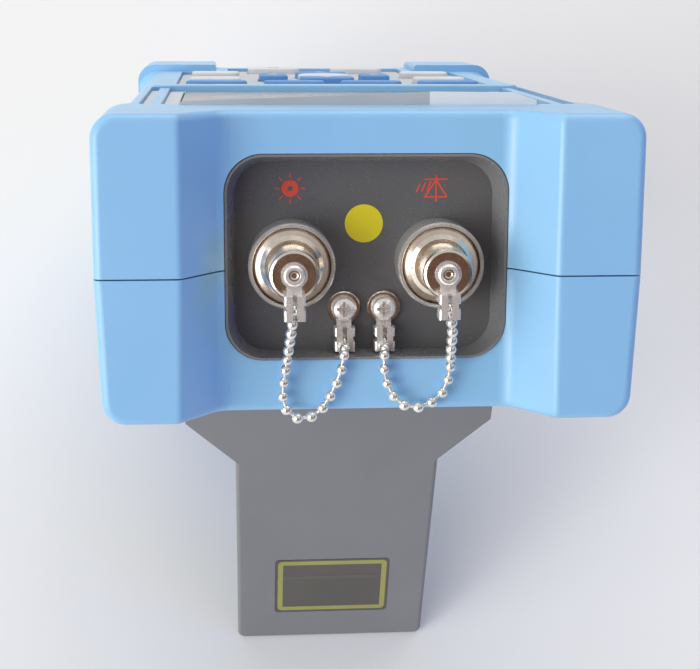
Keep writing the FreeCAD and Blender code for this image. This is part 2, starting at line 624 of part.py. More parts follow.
def make_back_shell():
    """Lower half: drafted sides, the stand's recess and hinge, the battery bay, side sockets."""
    body = new_body("back_shell")
    block = pad(body, polygon(new_sketch(body, "XY_Plane", -HALF_GAP), housing_outline()),
                S.back_depth - HALF_GAP, reverse=True, taper=-S.draft_angle)
    block = rounded_case(body, block, -S.back_depth)
    block = fillet(body, block, lambda e: end_edges(e, -S.back_depth), S.end_edge_radius)

    cavity(body, -HALF_GAP, -CAVITY_FLOOR - HALF_GAP, reverse=False)
    port_window(body)

    # The stand folds flush into the back; its hinge runs in a thicker bridge of the wall.
    bridge = new_sketch(body, "XY_Plane", CAVITY_FLOOR - 1)
    rectangle(bridge, -WAIST + 4, WAIST - 4, -S.hinge_place - 5, -S.hinge_place + 5)
    pad(body, bridge, 3.6)
    recess = new_sketch(body, "XY_Plane", -S.back_depth)
    top = -S.knuckle_radius - S.stand_clearance
    polygon(recess, [(x, y - S.hinge_place) for x, y in stand_outline(S.stand_clearance, top)])
    pocket(body, recess, S.recess_for_stand, reverse=True)
    trough = new_sketch(body, "XY_Plane", -S.back_depth)
    reach = S.knuckle_radius + S.stand_clearance
    for near, far in knuckle_spans(S.stand_clearance):
        rectangle(trough, near, far, -S.hinge_place - reach - 1, -S.hinge_place + reach)
    pocket(body, trough, S.back_depth - S.hinge_depth + reach, reverse=True)
    half_recess = S.stand_half + S.stand_clearance
    bevel = new_sketch(body, "YZ_Plane", half_recess)
    low = top - S.hinge_place - 0.5
    deep = -S.back_depth - 0.5
    polygon(bevel, [(low, deep), (low, deep + S.hinge_bevel + 1), (low + S.hinge_bevel + 1, deep)])
    pocket(body, bevel, half_recess * 2)
    bores = new_sketch(body, "YZ_Plane", -S.hinge_pin_reach)
    circle(bores, -S.hinge_place, -S.hinge_depth, S.hinge_pin_radius + S.turn_gap * 0.4)
    pocket(body, bores, S.hinge_pin_length, reverse=True)
    bores = new_sketch(body, "YZ_Plane", S.hinge_pin_reach)
    circle(bores, -S.hinge_place, -S.hinge_depth, S.hinge_pin_radius + S.turn_gap * 0.4)
    pocket(body, bores, S.hinge_pin_length)
    scoop = new_sketch(body, "XY_Plane", -S.back_depth)
    rounded_rectangle(scoop, -S.label_width * 0.3, S.label_width * 0.3,
                      -S.hinge_place - S.stand_length - 6, -S.hinge_place - S.stand_length + 2,
                      S.cove_radius * 0.5)
    pocket(body, scoop, S.recess_for_stand + 0.6, reverse=True)

    # The battery drops through the recess floor into a walled bay, behind its own door.
    half_width = S.battery_width * 0.5 + S.slip
    half_length = S.battery_length * 0.5 + S.slip
    bay = new_sketch(body, "XY_Plane", CAVITY_FLOOR - 0.5)
    rectangle(bay, -S.door_width * 0.5 - 2, S.door_width * 0.5 + 2,
              -S.door_place - S.door_length * 0.5 - 2, -S.door_place + S.door_length * 0.5 + 2)
    pad(body, bay, 3.0)
    walls = new_sketch(body, "XY_Plane", CAVITY_FLOOR)
    rectangle(walls, -half_width - S.bay_wall, half_width + S.bay_wall,
              -S.door_place - half_length - S.bay_wall, -S.door_place + half_length + S.bay_wall)
    pad(body, walls, S.battery_height * 0.8)
    seat = new_sketch(body, "XY_Plane", RECESS_FLOOR)
    rounded_rectangle(seat, -S.door_width * 0.5 - S.slip, S.door_width * 0.5 + S.slip,
                      -S.door_place - S.door_length * 0.5 - S.slip,
                      -S.door_place + S.door_length * 0.5 + S.slip, S.stand_corner)
    pocket(body, seat, S.door_thickness + 0.1, reverse=True)
    hollow = new_sketch(body, "XY_Plane", RECESS_FLOOR)
    rectangle(hollow, -half_width, half_width, -S.door_place - half_length, -S.door_place + half_length)
    pocket(body, hollow, S.battery_height + S.back_wall, reverse=True)
    holes = new_sketch(body, "XY_Plane", RECESS_FLOOR)
    for end in LEFT_AND_RIGHT:
        circle(holes, 0, -S.door_place + S.door_screw_along * end, S.door_screw_radius + S.turn_gap)
    pocket(body, holes, S.door_screw_length, reverse=True)

    # Six screws come up through deep counterbores into the front shell.
    pad(body, screw_circles(body, S.screw_boss_radius + 1.2, CAVITY_FLOOR - 1),
        -CAVITY_FLOOR - HALF_GAP + 1)
    pocket(body, screw_circles(body, S.screw_head_radius + S.slip, -S.back_depth),
           S.back_depth - S.screw_seat, reverse=True)
    pocket(body, screw_circles(body, S.screw_radius + S.turn_gap, -S.back_depth), S.back_depth, reverse=True)

    # The charging and data sockets open in a shallow recess of the right-hand side.
    liner = new_sketch(body, "YZ_Plane", LINER_INSIDE)
    low = -S.side_cover_top - S.side_cover_height
    half_cover = S.side_cover_length * 0.5
    rectangle(liner, -S.side_place - half_cover - 2, -S.side_place + half_cover + 2,
              CAVITY_FLOOR - 0.5, -S.side_cover_top + 1.5)
    pad(body, liner, S.side_liner + 0.5)
    shallow = new_sketch(body, "YZ_Plane", SIDE_FLOOR)
    rounded_rectangle(shallow, -S.side_place - half_cover - S.slip, -S.side_place + half_cover + S.slip,
                      low - S.slip, -S.side_cover_top + S.slip, S.stand_corner * 0.5)
    pocket(body, shallow, S.wall + 2, reverse=True)
    power = new_sketch(body, "YZ_Plane", SIDE_FLOOR + 1)
    circle(power, -S.side_place + S.jack_across, SOCKET_HEIGHT, S.jack_bore + 1.2 + S.slip)
    pocket(body, power, S.side_liner + S.wall + 2)
    data = new_sketch(body, "YZ_Plane", SIDE_FLOOR + 1)
    rounded_rectangle(data, -S.side_place - S.jack_across - S.usb_width * 0.5 - S.slip,
                      -S.side_place - S.jack_across + S.usb_width * 0.5 + S.slip,
                      SOCKET_HEIGHT - S.usb_height * 0.5 - S.slip,
                      SOCKET_HEIGHT + S.usb_height * 0.5 + S.slip, as_size(0.8))
    pocket(body, data, S.side_liner + S.wall + 2)
    return put(body)


# ---------------------------------------------------------------- stand and battery door
def knuckle_spans(grow):
    """Where the stand's two knuckles lie across the case, with some room at each end."""
    near = S.knuckle_inner - grow
    far = S.knuckle_inner + S.knuckle_length + grow
    return ((near, far), (-far, -near))


def make_stand():
    """A moulded T-shaped plate with two knuckles; drawn folded, hinge at its origin."""
    body = new_body("stand")
    plate_top = -S.knuckle_radius - S.stand_clearance * 2
    plate = new_sketch(body, "XY_Plane", PLATE_INSET)
    block = pad(body, polygon(plate, stand_outline(ZERO, plate_top)), S.stand_thickness)
    half_foot = S.stand_foot_half.value
    block = fillet(body, block, lambda e: spans(e, "z") > 1 and
                   e.BoundBox.YMax < 1 - S.stand_length.value and abs(e.CenterOfMass.x) > half_foot - 1,
                   S.stand_corner)
    block = fillet(body, block, lambda e: e.BoundBox.YMax < 0.5 - S.stand_length.value and
                   spans(e, "z") < 0.1 and spans(e, "x") > 5, S.stand_foot_radius)
    arms = new_sketch(body, "XY_Plane", PLATE_INSET)
    for near, far in knuckle_spans(ZERO):
        rectangle(arms, near, far, plate_top - 1, ZERO)
    pad(body, arms, S.stand_thickness)
    for side in LEFT_AND_RIGHT:
        start = S.knuckle_inner if side > 0 else -S.knuckle_inner - S.knuckle_length
        knuckle = new_sketch(body, "YZ_Plane", start)
        pad(body, circle(knuckle, 0, 0, S.knuckle_radius), S.knuckle_length)
    for side in LEFT_AND_RIGHT:
        start = S.knuckle_inner - 1 if side > 0 else -S.knuckle_inner - S.knuckle_length - 1
        bore = new_sketch(body, "YZ_Plane", start)
        circle(bore, 0, 0, S.hinge_pin_radius + S.turn_gap)
        pocket(body, bore, S.knuckle_length + 2, reverse=True)
    # Ribs stiffen the inner face, and a shallow field takes the label on the outer one.
    ribs = new_sketch(body, "XY_Plane", PLATE_INSET + S.stand_thickness - 0.6)
    pockets_top = -S.stand_slant_end - 4
    for side in LEFT_AND_RIGHT:
        near, far = (S.rib_gap * 0.5 * side, (S.stand_foot_half - 4) * side)
        near, far = (near, far) if side > 0 else (far, near)
        rectangle(ribs, near, far, -S.stand_length + 6, pockets_top)
    pocket(body, ribs, 0.6, reverse=True)
    field = new_sketch(body, "XY_Plane", PLATE_INSET)
    rounded_rectangle(field, -S.label_width * 0.5 - 0.2, S.label_width * 0.5 + 0.2,
                      -S.stand_length + S.label_from_foot - 0.2,
                      -S.stand_length + S.label_from_foot + S.label_length + 0.2, as_size(1.2))
    pocket(body, field, S.label_thickness, reverse=True)
    return body


def make_stand_label():
    """A bare label plate that lies in its field on the stand."""
    body = new_body("stand_label")
    face = new_sketch(body, "XY_Plane", PLATE_INSET)
    rounded_rectangle(face, -S.label_width * 0.5, S.label_width * 0.5, -S.stand_length + S.label_from_foot,
                      -S.stand_length + S.label_from_foot + S.label_length, as_size(1.0))
    pad(body, face, S.label_thickness - 0.02)
    return body


def make_pin(label):
    """One hinge pin with chamfered ends, centred on its own length."""
    body = new_body(label)
    rod = new_sketch(body, "YZ_Plane", S.hinge_pin_length * -0.5 + 0.3)
    block = pad(body, circle(rod, 0, 0, S.hinge_pin_radius), S.hinge_pin_length - 0.6)
    fillet(body, block, lambda e: spans(e, "x") < 0.1, 0.3, kind="Chamfer")
    return body


def copies(label, maker, spots):
    """Several pieces of one kind, kept together as one sub-part."""
    members = []
    for number, (spot, turn) in enumerate(spots, start=1):
        member = maker(f"{label}_{number}")
        member.Placement = Placement(Vector(*[as_size(value).value for value in spot]), turn)
        members.append(member)
    group = doc.addObject("Part::Compound", label)
    group.Label = label
    group.Links = members
    return group


def turned(label, role, corners):
    """A turned piece from its half profile; role is the plane that holds its axis."""
    body = new_body(label)
    revolve(body, polygon(new_sketch(body, role), corners))
    return body


def cross_recess(body, role, offset, reach, depth):
    """A driver's cross, cut into a screw's head."""
    half = reach * 0.22
    cross = new_sketch(body, role, offset)
    polygon(cross, [(-half, -reach), (half, -reach), (half, -half), (reach, -half), (reach, half),
                    (half, half), (half, reach), (-half, reach), (-half, half), (-reach, half),
                    (-reach, -half), (-half, -half)])
    pocket(body, cross, depth, reverse=True)


def make_battery_door():
    """Flush cover in the floor of the stand's recess, with a screw at each end and grip lines."""
    body = new_body("battery_door")
    face = new_sketch(body, "XY_Plane")
    rounded_rectangle(face, -S.door_width * 0.5, S.door_width * 0.5, -S.door_length * 0.5,
                      S.door_length * 0.5, S.stand_corner)
    pad(body, face, S.door_thickness)
    for radius, depth in ((S.door_screw_head_radius + 0.1, S.door_thickness * 0.5),
                          (S.door_screw_radius + S.turn_gap, S.door_thickness)):
        holes = new_sketch(body, "XY_Plane")
        for end in LEFT_AND_RIGHT:
            circle(holes, 0, S.door_screw_along * end, radius)
        pocket(body, holes, depth, reverse=True)
    grips = new_sketch(body, "XY_Plane")
    for number in range(-2, 3):
        low = S.door_length * 0.3 + 1.8 * number
        rectangle(grips, -S.door_width * 0.2, S.door_width * 0.2, low, low + 0.8)
    pocket(body, grips, 0.4, reverse=True)
    return body


def make_door_screw(label):
    """Small screw whose flat head lies in the door; drawn head down, tip up."""
    head = S.door_thickness * 0.5 - 0.05
    body = turned(label, "XZ_Plane", [
        (0, 0.05), (S.door_screw_head_radius, 0.05), (S.door_screw_head_radius, head),
        (S.door_screw_radius, head), (S.door_screw_radius, S.door_screw_length - 0.6),
        (S.door_screw_radius - 0.5, S.door_screw_length - 0.1), (0, S.door_screw_length - 0.1)])
    cross_recess(body, "XY_Plane", ZERO, S.door_screw_head_radius * 0.62, head * 0.8)
    return body


def make_case_screw(label):
    """Pan-head screw from the back shell into the front shell; drawn from the head's seat."""
    top = S.screw_seat + S.screw_reach
    body = turned(label, "XZ_Plane", [
        (0, -S.screw_head_height), (S.screw_head_radius - 0.7, -S.screw_head_height),
        (S.screw_head_radius, 0.7 - S.screw_head_height), (S.screw_head_radius, ZERO),
        (S.screw_radius, ZERO), (S.screw_radius, top - 1), (S.screw_radius - 0.8, top), (0, top)])
    cross_recess(body, "XY_Plane", -S.screw_head_height, S.screw_head_radius * 0.6, S.screw_head_height * 0.7)
    return body


def make_battery():
    """Two round cells side by side in one shrink sleeve."""
    body = new_body("battery_pack")
    ends = new_sketch(body, "XZ_Plane", -S.battery_length * 0.5)
    rounded_rectangle(ends, -S.battery_width * 0.5, S.battery_width * 0.5, 0, S.battery_height,
                      S.battery_height * 0.49)
    pad(body, ends, S.battery_length)
    return body


# ---------------------------------------------------------------- display and keypad
def flat_piece(label, left, right, low, high, radius, thickness):
    """A plain plate with rounded corners, drawn on its own lower face."""
    body = new_body(label)
    pad(body, rounded_rectangle(new_sketch(body, "XY_Plane"), left, right, low, high, as_size(radius)), thickness)
    return body


def make_display_bezel():
    half = S.rail_inner - 0.2
    edge = (S.crossbar_place - S.crossbar_width * 0.5 - S.band_length) * 0.5 - 0.2
    body = flat_piece("display_bezel", -half, half, -edge, edge, 1.0, S.bezel_thickness)
    view = new_sketch(body, "XY_Plane")
    rectangle(view, -S.window_width * 0.5 - S.slip, S.window_width * 0.5 + S.slip,
              -S.window_length * 0.5 - S.slip, S.window_length * 0.5 + S.slip)
    pocket(body, view, S.bezel_thickness, reverse=True)
    return body


def make_display_window():
    half, edge = S.window_width * 0.5, S.window_length * 0.5
    return flat_piece("display_window", -half, half, -edge, edge, 0.8, S.window_thickness)


def make_lcd():
    """Display module: metal frame with a connector tail on its lower edge."""
    half, edge = S.window_width * 0.5 - 0.2, S.window_length * 0.5 + 1
    body = flat_piece("lcd_module", -half, half, -edge, edge, 0.8, S.lcd_thickness)
    glass = new_sketch(body, "XY_Plane", S.lcd_thickness)
    rectangle(glass, -half + 3, half - 3, -edge + 3, edge - 3)
    pocket(body, glass, 0.3)
    return body


def make_trim_strip(label):
    length = (S.crossbar_place - S.crossbar_width * 0.5 - S.band_length) * 0.5 - 0.6
    half = (S.floor_half - S.rail_outer) * 0.5 - 0.2
    return flat_piece(label, -half, half, -length, length, 0.85, S.trim_thickness)


def make_screen_film():
    """Clear film on the window; its top edge has come loose and stands up, most near one corner."""
    body = new_body("screen_film")
    half = S.window_width * 0.5 - 0.3
    far, bend, end = -S.window_length * 0.5 + 0.5, S.window_length * 0.3, S.window_length * 0.5 + 7
    sections = []
    for across, lift in ((-half, S.film_lift * 0.62), (-half * 0.86, S.film_lift * 1.3),
                         (-half * 0.4, S.film_lift * 1.36), (half, S.film_lift * 0.56)):
        section = new_sketch(body, "YZ_Plane", across)
        middle = bend + (end - bend) * 0.5
        polygon(section, [(far, ZERO), (bend, ZERO), (middle, lift * 0.42), (end, lift),
                          (end, lift + S.film_thickness), (middle, lift * 0.42 + S.film_thickness),
                          (bend, S.film_thickness), (far, S.film_thickness)])
        sections.append(section)
    loft = body.newObject("PartDesign::AdditiveLoft", "Loft")
    loft.Profile = sections[0]
    loft.Sections = sections[1:]
    loft.Ruled = True
    return body


# Each key: name, centre across and along from the arrows' centre, width, length.
ARROWS_CENTRE = -PLATE_EDGE - S.wheel_place
FUNCTION_ROW = S.wheel_place - S.function_row
POWER_ROW = S.wheel_place - S.plate_length - S.plate_tail_length * 0.5 + 1
FUNCTION_SIZE = (S.function_key_width, S.function_key_length)
SIDE_SIZE = (S.side_key_width, S.side_key_length)
UPRIGHT_SIZE = (S.arrow_length, S.arrow_width)
FLAT_SIZE = (S.arrow_width, S.arrow_length)
POWER_SIZE = (S.power_key_width, S.side_key_length)
KEYS = [(f"function_key_{number}", S.function_key_pitch * (number - 2.5), FUNCTION_ROW, FUNCTION_SIZE)
        for number in range(1, 5)]
KEYS += [
    ("up_key", ZERO, S.arrow_reach, FLAT_SIZE),
    ("down_key", ZERO, -S.arrow_reach, FLAT_SIZE),
    ("left_key", -S.arrow_reach, ZERO, UPRIGHT_SIZE),
    ("right_key", S.arrow_reach, ZERO, UPRIGHT_SIZE),
    ("menu_key", -S.side_key_across, S.side_key_along, SIDE_SIZE),
    ("back_key", S.side_key_across, S.side_key_along, SIDE_SIZE),
    ("file_key", -S.side_key_across, -S.side_key_along, SIDE_SIZE),
    ("test_key", S.side_key_across, -S.side_key_along, SIDE_SIZE),
    ("laser_key", -S.power_key_across, POWER_ROW, POWER_SIZE),
    ("power_key", S.power_key_across, POWER_ROW, POWER_SIZE),
]


def key_outline(sketch, x, y, size, grow):
    """One key's outline, grown for its hole or its flange."""
    half_width, half_length = size[0] * 0.5 + grow, size[1] * 0.5 + grow
    return rounded_rectangle(sketch, x - half_width, x + half_width, y - half_length, y + half_length,
                             S.key_corner + grow)


def make_key(name, size):
    """Cap above the plate, flange below it; drawn from the plate's top face."""
    body = new_body(name)
    bottom = -S.plate_thickness - S.slip - S.key_flange_thickness
    if size is None:
        flange = circle(new_sketch(body, "XY_Plane", bottom), 0, 0, S.enter_radius + S.key_flange)
        cap = circle(new_sketch(body, "XY_Plane", bottom), 0, 0, S.enter_radius)
    else:
        flange = key_outline(new_sketch(body, "XY_Plane", bottom), ZERO, ZERO, size, S.key_flange)
        cap = key_outline(new_sketch(body, "XY_Plane", bottom), ZERO, ZERO, size, ZERO)
    pad(body, flange, S.key_flange_thickness)
    block = pad(body, cap, S.key_rise - bottom)
    fillet(body, block, lambda e: lies_at(e, "z", S.key_rise.value), S.key_edge_radius)
    return body


def make_keypad_plate():
    """Light grey plate with a hole for each key."""
    body = new_body("keypad_plate")
    block = pad(body, polygon(new_sketch(body, "XY_Plane", PLATE_BOTTOM), plate_outline(ZERO)),
                S.plate_thickness)
    outer = S.plate_half.value - 1
    fillet(body, block, lambda e: spans(e, "z") > 1 and abs(e.CenterOfMass.x) > outer, S.stand_corner)
    holes = new_sketch(body, "XY_Plane", PLATE_BOTTOM)
    for name, x, y, size in KEYS:
        key_outline(holes, x, y + ARROWS_CENTRE, size, S.key_gap)
    circle(holes, 0, ARROWS_CENTRE, S.enter_radius + S.key_gap)
    pocket(body, holes, S.plate_thickness, reverse=True)
    return body


def make_keypad_mat():
    """Rubber sheet on the board with one dome under each key."""
    body = new_body("keypad_mat")
    sheet_face = new_sketch(body, "XY_Plane", BOARD_TOP + S.slip * 0.5)
    polygon(sheet_face, plate_outline(-S.plate_ledge - 1))
    pad(body, sheet_face, S.mat_thickness)
    domes = new_sketch(body, "XY_Plane", BOARD_TOP + S.slip * 0.5)
    for name, x, y, size in KEYS:
        circle(domes, x, y + ARROWS_CENTRE, S.dome_radius)
    circle(domes, 0, ARROWS_CENTRE, S.dome_radius)
    key_bottom = PLATE_BOTTOM - S.slip - S.key_flange_thickness
    pad(body, domes, key_bottom - S.key_travel - S.slip - BOARD_TOP)
    return body


def make_main_board():
    """Circuit board behind the display and keypad, with its larger parts on the underside."""
    half = S.plate_half - 1
    body = flat_piece("main_board", -half, half, -S.case_length + S.foot_bumper_length * 0.5,
                      -S.band_length + 4, 2.0, S.board_thickness)
    parts = new_sketch(body, "XY_Plane")
    for left, low, width, length in ((-30, -96, 16, 16), (6, -98, 12, 20), (-20, -170, 34, 8), (24, -150, 12, 30)):
        rectangle(parts, left, left + width, low, low + length)
    pad(body, parts, 2.2, reverse=True)
    return body


def make_optical_module():
    """Sealed metal box with the laser and detector; its two fibres leave through front glands."""
    half = S.module_width * 0.5
    body = flat_piece("optical_module", -half, half, -S.module_length, 0, 2.0, S.module_height)
    fins = new_sketch(body, "XY_Plane", S.module_height)
    for number in range(5):
        low = -S.module_length + 6 + 9 * number
        rectangle(fins, -half + 5, half - 5, low, low + 3)
    pad(body, fins, 1.2)
    return body


# ---------------------------------------------------------------- connector end
def make_port_frame():
    """Dark frame set into both shells; its inner walls slope in to the panel."""
    body = new_body("port_frame")
    back = -S.panel_depth - S.panel_thickness - 0.6

    def outline(depth, half, half_height, centre, radius):
        drawn = new_sketch(body, "XZ_Plane", depth)
        return rounded_rectangle(drawn, -half, half, centre - half_height, centre + half_height, radius)

    outer_half, outer_height = S.port_frame_half - 0.15, S.port_frame_half_height - 0.15
    pad(body, outline(S.recess_depth, outer_half, outer_height, S.port_frame_centre, S.port_frame_radius),
        -back - S.recess_depth)
    grow = S.frame_flange
    pad(body, outline(CAVITY_END + 0.2, outer_half + grow, outer_height + grow * 0.5,
                      S.port_frame_centre, S.port_frame_radius + 1), 2.0)
    front = outline(S.recess_depth, outer_half - 0.5, outer_height - 0.5, S.port_frame_centre,
                    S.port_frame_radius - 0.5)
    inner = outline(S.panel_depth, S.panel_half, S.panel_half_height, S.panel_centre, S.panel_radius)
    sloped = body.newObject("PartDesign::SubtractiveLoft", "SlopedOpening")
    sloped.Profile = front
    sloped.Sections = [inner]
    sloped.Ruled = True
    seat = outline(S.panel_depth, S.panel_half + 1.2, S.panel_half_height + 0.9, S.panel_centre,
                   S.panel_radius + 1)
    pocket(body, seat, S.panel_thickness + 1, reverse=True)
    return body


def make_connector_panel():
    """Black panel with a hole for each adapter and each anchor screw."""
    body = new_body("connector_panel")
    face = new_sketch(body, "XZ_Plane", S.panel_depth + 0.05)
    half, height = S.panel_half + 1.05, S.panel_half_height + 0.75
    rounded_rectangle(face, -half, half, S.panel_centre - height, S.panel_centre + height, S.panel_radius + 0.9)
    pad(body, face, S.panel_thickness - 0.05)
    holes = new_sketch(body, "XZ_Plane", S.panel_depth)
    for side in LEFT_AND_RIGHT:
        circle(holes, S.port_across * side, S.port_height, S.barrel_radius + 0.2)
        circle(holes, S.anchor_across * side, S.anchor_height, S.anchor_shank_radius + S.turn_gap)
    pocket(body, holes, S.panel_thickness + 1, reverse=True)
    return body


def make_collar(label):
    """Turned collar round a port: thin rim, flat web clamped to the panel; origin on the panel."""
    rim = S.collar_length - 0.5
    return turned(label, "XY_Plane", [
        (S.barrel_radius + 0.2, 0), (S.collar_radius, 0), (S.collar_radius, rim),
        (S.collar_radius - 0.35, S.collar_length), (S.collar_bore + 0.15, S.collar_length),
        (S.collar_bore, S.collar_length - 0.2), (S.collar_bore, 1.4), (S.barrel_radius + 0.2, 1.4)])


def make_adapter(label):
    """Fibre adapter: flange behind the panel, open barrel in front, holder for the sleeve inside."""
    back = -S.panel_thickness
    rear = back - 9.2
    holder = S.sleeve_radius + S.turn_gap
    body = turned(label, "XY_Plane", [
        (holder, rear), (S.sleeve_radius + 1.5, rear), (S.sleeve_radius + 1.5, back - 1.6),
        (S.adapter_flange_radius, back - 1.6), (S.adapter_flange_radius, back),
        (S.barrel_radius, back), (S.barrel_radius, S.barrel_length - 0.5),
        (S.barrel_radius - 0.5, S.barrel_length), (S.barrel_bore, S.barrel_length),
        (S.barrel_bore, 2), (holder, 2)])
    slot = new_sketch(body, "XZ_Plane", -S.barrel_length)
    rectangle(slot, -1.05, 1.05, S.barrel_bore * 0.8, S.barrel_radius + 1)
    pocket(body, slot, S.key_slot_depth, reverse=True)
    return body


def make_sleeve(label):
    """Ceramic sleeve that lines up the two ferrules."""
    front = S.sleeve_length - 4
    return turned(label, "XY_Plane", [
        (S.ferrule_radius, front - S.sleeve_length), (S.sleeve_radius, front - S.sleeve_length),
        (S.sleeve_radius, front - 0.1), (S.sleeve_radius - 0.1, front), (S.ferrule_radius, front)])


def make_cap(label):
    """Screw-on dust cap: brim inside the collar, coved up to a boss with a closed end."""
    seat, face = S.cap_seat, S.panel_depth + S.cap_face
    bore = S.barrel_radius + S.thread_gap
    brim_top = seat + S.cap_brim_thickness
    body = new_body(label)
    profile = new_sketch(body, "XY_Plane")
    polygon(profile, [
        (bore + 0.4, seat), (S.cap_brim_radius - 0.3, seat), (S.cap_brim_radius, seat + 0.3),
        (S.cap_brim_radius, brim_top - 0.4), (S.cap_brim_radius - 0.4, brim_top),
        (S.cap_radius + 1.4, brim_top + 0.25), (S.cap_radius + 0.5, brim_top + 0.9),
        (S.cap_radius, brim_top + 2.2), (S.cap_radius, face - S.cap_edge),
        (S.cap_radius - S.cap_edge * 0.35, face - S.cap_edge * 0.3), (S.cap_radius - S.cap_edge, face),
        (S.rivet_radius, face), (S.rivet_radius, face - S.cap_end_wall), (bore, face - S.cap_end_wall),
        (bore, seat + 0.4)])
    revolve(body, profile)
    return body


def make_cap_gasket(label):
    """Rubber disc at the bottom of the cap; origin at the cap's closed end."""
    radius = S.barrel_radius
    return turned(label, "XY_Plane", [
        (0, -S.gasket_thickness), (radius - 0.2, -S.gasket_thickness), (radius, -S.gasket_thickness + 0.2),
        (radius, -0.05), (0, -0.05)])


def make_rivet(label):
    """Tubular rivet through the cap's end; its rolled head traps the clasp; origin on the cap's face."""
    top = S.clasp_sheet + S.turn_gap * 6
    shank = S.rivet_radius - 0.02
    return turned(label, "XY_Plane", [
        (S.rivet_bore, -S.cap_end_wall + 0.1), (shank, -S.cap_end_wall + 0.1), (shank, top - 0.1),
        (S.rivet_head_radius, top - 0.1), (S.rivet_head_radius, top + 0.2),
        (S.rivet_head_radius - 0.35, top + 0.5), (S.rivet_bore + 0.1, top + 0.5), (S.rivet_bore, top + 0.3)])


def make_clasp(label, hole_radius):
    """Folded sheet clasp: a ring, and below it a channel round the chain's last ball."""
    body = new_body(label)
    pad(body, circle(new_sketch(body, "XZ_Plane"), 0, 0, S.clasp_ring_radius), S.clasp_sheet, reverse=True)
    half = S.clasp_width * 0.5
    strap = new_sketch(body, "XZ_Plane")
    rectangle(strap, -half * 0.72, half * 0.72, S.clasp_box_length - S.clasp_reach, ZERO)
    pad(body, strap, S.clasp_sheet, reverse=True)
    box = new_sketch(body, "XZ_Plane")
    rectangle(box, -half, half, -S.clasp_reach, S.clasp_box_length - S.clasp_reach)
    block = pad(body, box, S.clasp_depth, reverse=True)
    fillet(body, block, lambda e: spans(e, "z") > 3 and e.BoundBox.YMin > 1, S.clasp_sheet * 1.2)
    hollow = new_sketch(body, "XZ_Plane", -S.clasp_sheet)
    rectangle(hollow, -half + S.clasp_sheet, half - S.clasp_sheet, -S.clasp_reach - 1,
              S.clasp_box_length - S.clasp_reach - S.clasp_sheet)
    pocket(body, hollow, S.clasp_depth - S.clasp_sheet * 2)
    seam = new_sketch(body, "XZ_Plane", -S.clasp_depth - 1)
    rectangle(seam, -S.link_radius - 0.1, S.link_radius + 0.1, -S.clasp_reach - 1,
              S.clasp_box_length - S.clasp_reach + 1)
    pocket(body, seam, S.clasp_depth - S.clasp_sheet, reverse=True)
    notches = new_sketch(body, "XZ_Plane", -S.clasp_depth - 1)
    low = S.clasp_box_length * 0.42 - S.clasp_reach
    for near, far in ((half - 0.45, half + 1), (-half - 1, -half + 0.45)):
        rectangle(notches, near, far, low, low + 1.1)
    pocket(body, notches, S.clasp_depth + 2, reverse=True)
    pocket(body, circle(new_sketch(body, "XZ_Plane", 1), 0, 0, hole_radius), S.clasp_sheet + 2)
    return body


def make_anchor_post(label):
    """Brass post that lifts a chain's fixed end off the panel."""
    radius = S.anchor_post_radius
    return turned(label, "XY_Plane", [
        (S.anchor_shank_radius + S.turn_gap, 0), (radius, 0), (radius, S.anchor_post_height - 0.25),
        (radius - 0.25, S.anchor_post_height), (S.anchor_shank_radius + S.turn_gap, S.anchor_post_height)])


def make_anchor_screw(label):
    """Domed screw; origin under its head."""
    radius, height = S.anchor_head_radius, S.anchor_head_height
    body = turned(label, "XY_Plane", [
        (0, -S.anchor_shank_length), (S.anchor_shank_radius - 0.4, -S.anchor_shank_length),
        (S.anchor_shank_radius, -S.anchor_shank_length + 0.5), (S.anchor_shank_radius, 0),
        (radius, 0), (radius, height * 0.45), (radius * 0.86, height * 0.78),
        (radius * 0.5, height * 0.96), (0, height)])
    cross_recess(body, "XZ_Plane", -height, radius * 0.62, height * 0.6)
    return body


def make_chain(label, route):
    """Balls at even spaces along a smooth hanging line, joined by thin links."""
    line = Part.BSplineCurve()
    line.interpolate([Vector(*point) for point in route])
    count = round(line.length() / S.bead_pitch.value) + 1
    spots = line.discretize(Number=count)
    balls = []
    for number, spot in enumerate(spots):
        along = spots[min(number + 1, count - 1)] - spots[max(number - 1, 0)]
        pole = along.cross(Vector(0.3, 1, -0.2))
        ball = Part.makeSphere(S.bead_radius.value)
        ball.Placement = Placement(spot, Rotation(pole.cross(along), along, pole, "ZXY"))
        balls.append(ball)
    links = [Part.makeCylinder(S.link_radius.value, (after - spot).Length, spot, after - spot)
             for spot, after in zip(spots, spots[1:])]
    chain = doc.addObject("Part::Feature", label)
    chain.Label = label
    chain.Shape = balls[0].multiFuse(balls[1:] + links)
    return chain


# ---------------------------------------------------------------- side sockets
def make_side_cover():
    """Rubber flap over the sockets, with a round bead along its lower edge for a hinge."""
    body = new_body("side_cover")
    half = S.side_cover_length * 0.5
    flap = new_sketch(body, "YZ_Plane", -S.side_cover_thickness * 0.5)
    rectangle(flap, -half, half, ZERO, S.side_cover_height - S.side_cover_thickness * 0.5)
    block = pad(body, flap, S.side_cover_thickness)
    block = fillet(body, block, lambda e: spans(e, "x") > 1 and e.BoundBox.ZMin > 2, S.stand_corner)
    outside = S.side_cover_thickness.value * 0.5
    block = fillet(body, block, lambda e: lies_at(e, "x", outside) and e.BoundBox.ZMax > 1, 0.4)
    bead = new_sketch(body, "XZ_Plane", -half)
    pad(body, circle(bead, 0, 0, S.side_cover_thickness * 0.5), half * 2)
    tab = new_sketch(body, "YZ_Plane", S.side_cover_thickness * 0.5 - 0.2)
    rounded_rectangle(tab, -4, 4, S.side_cover_height - 4.5, S.side_cover_height - 2.5, as_size(0.8))
    pad(body, tab, 0.7)
    return body


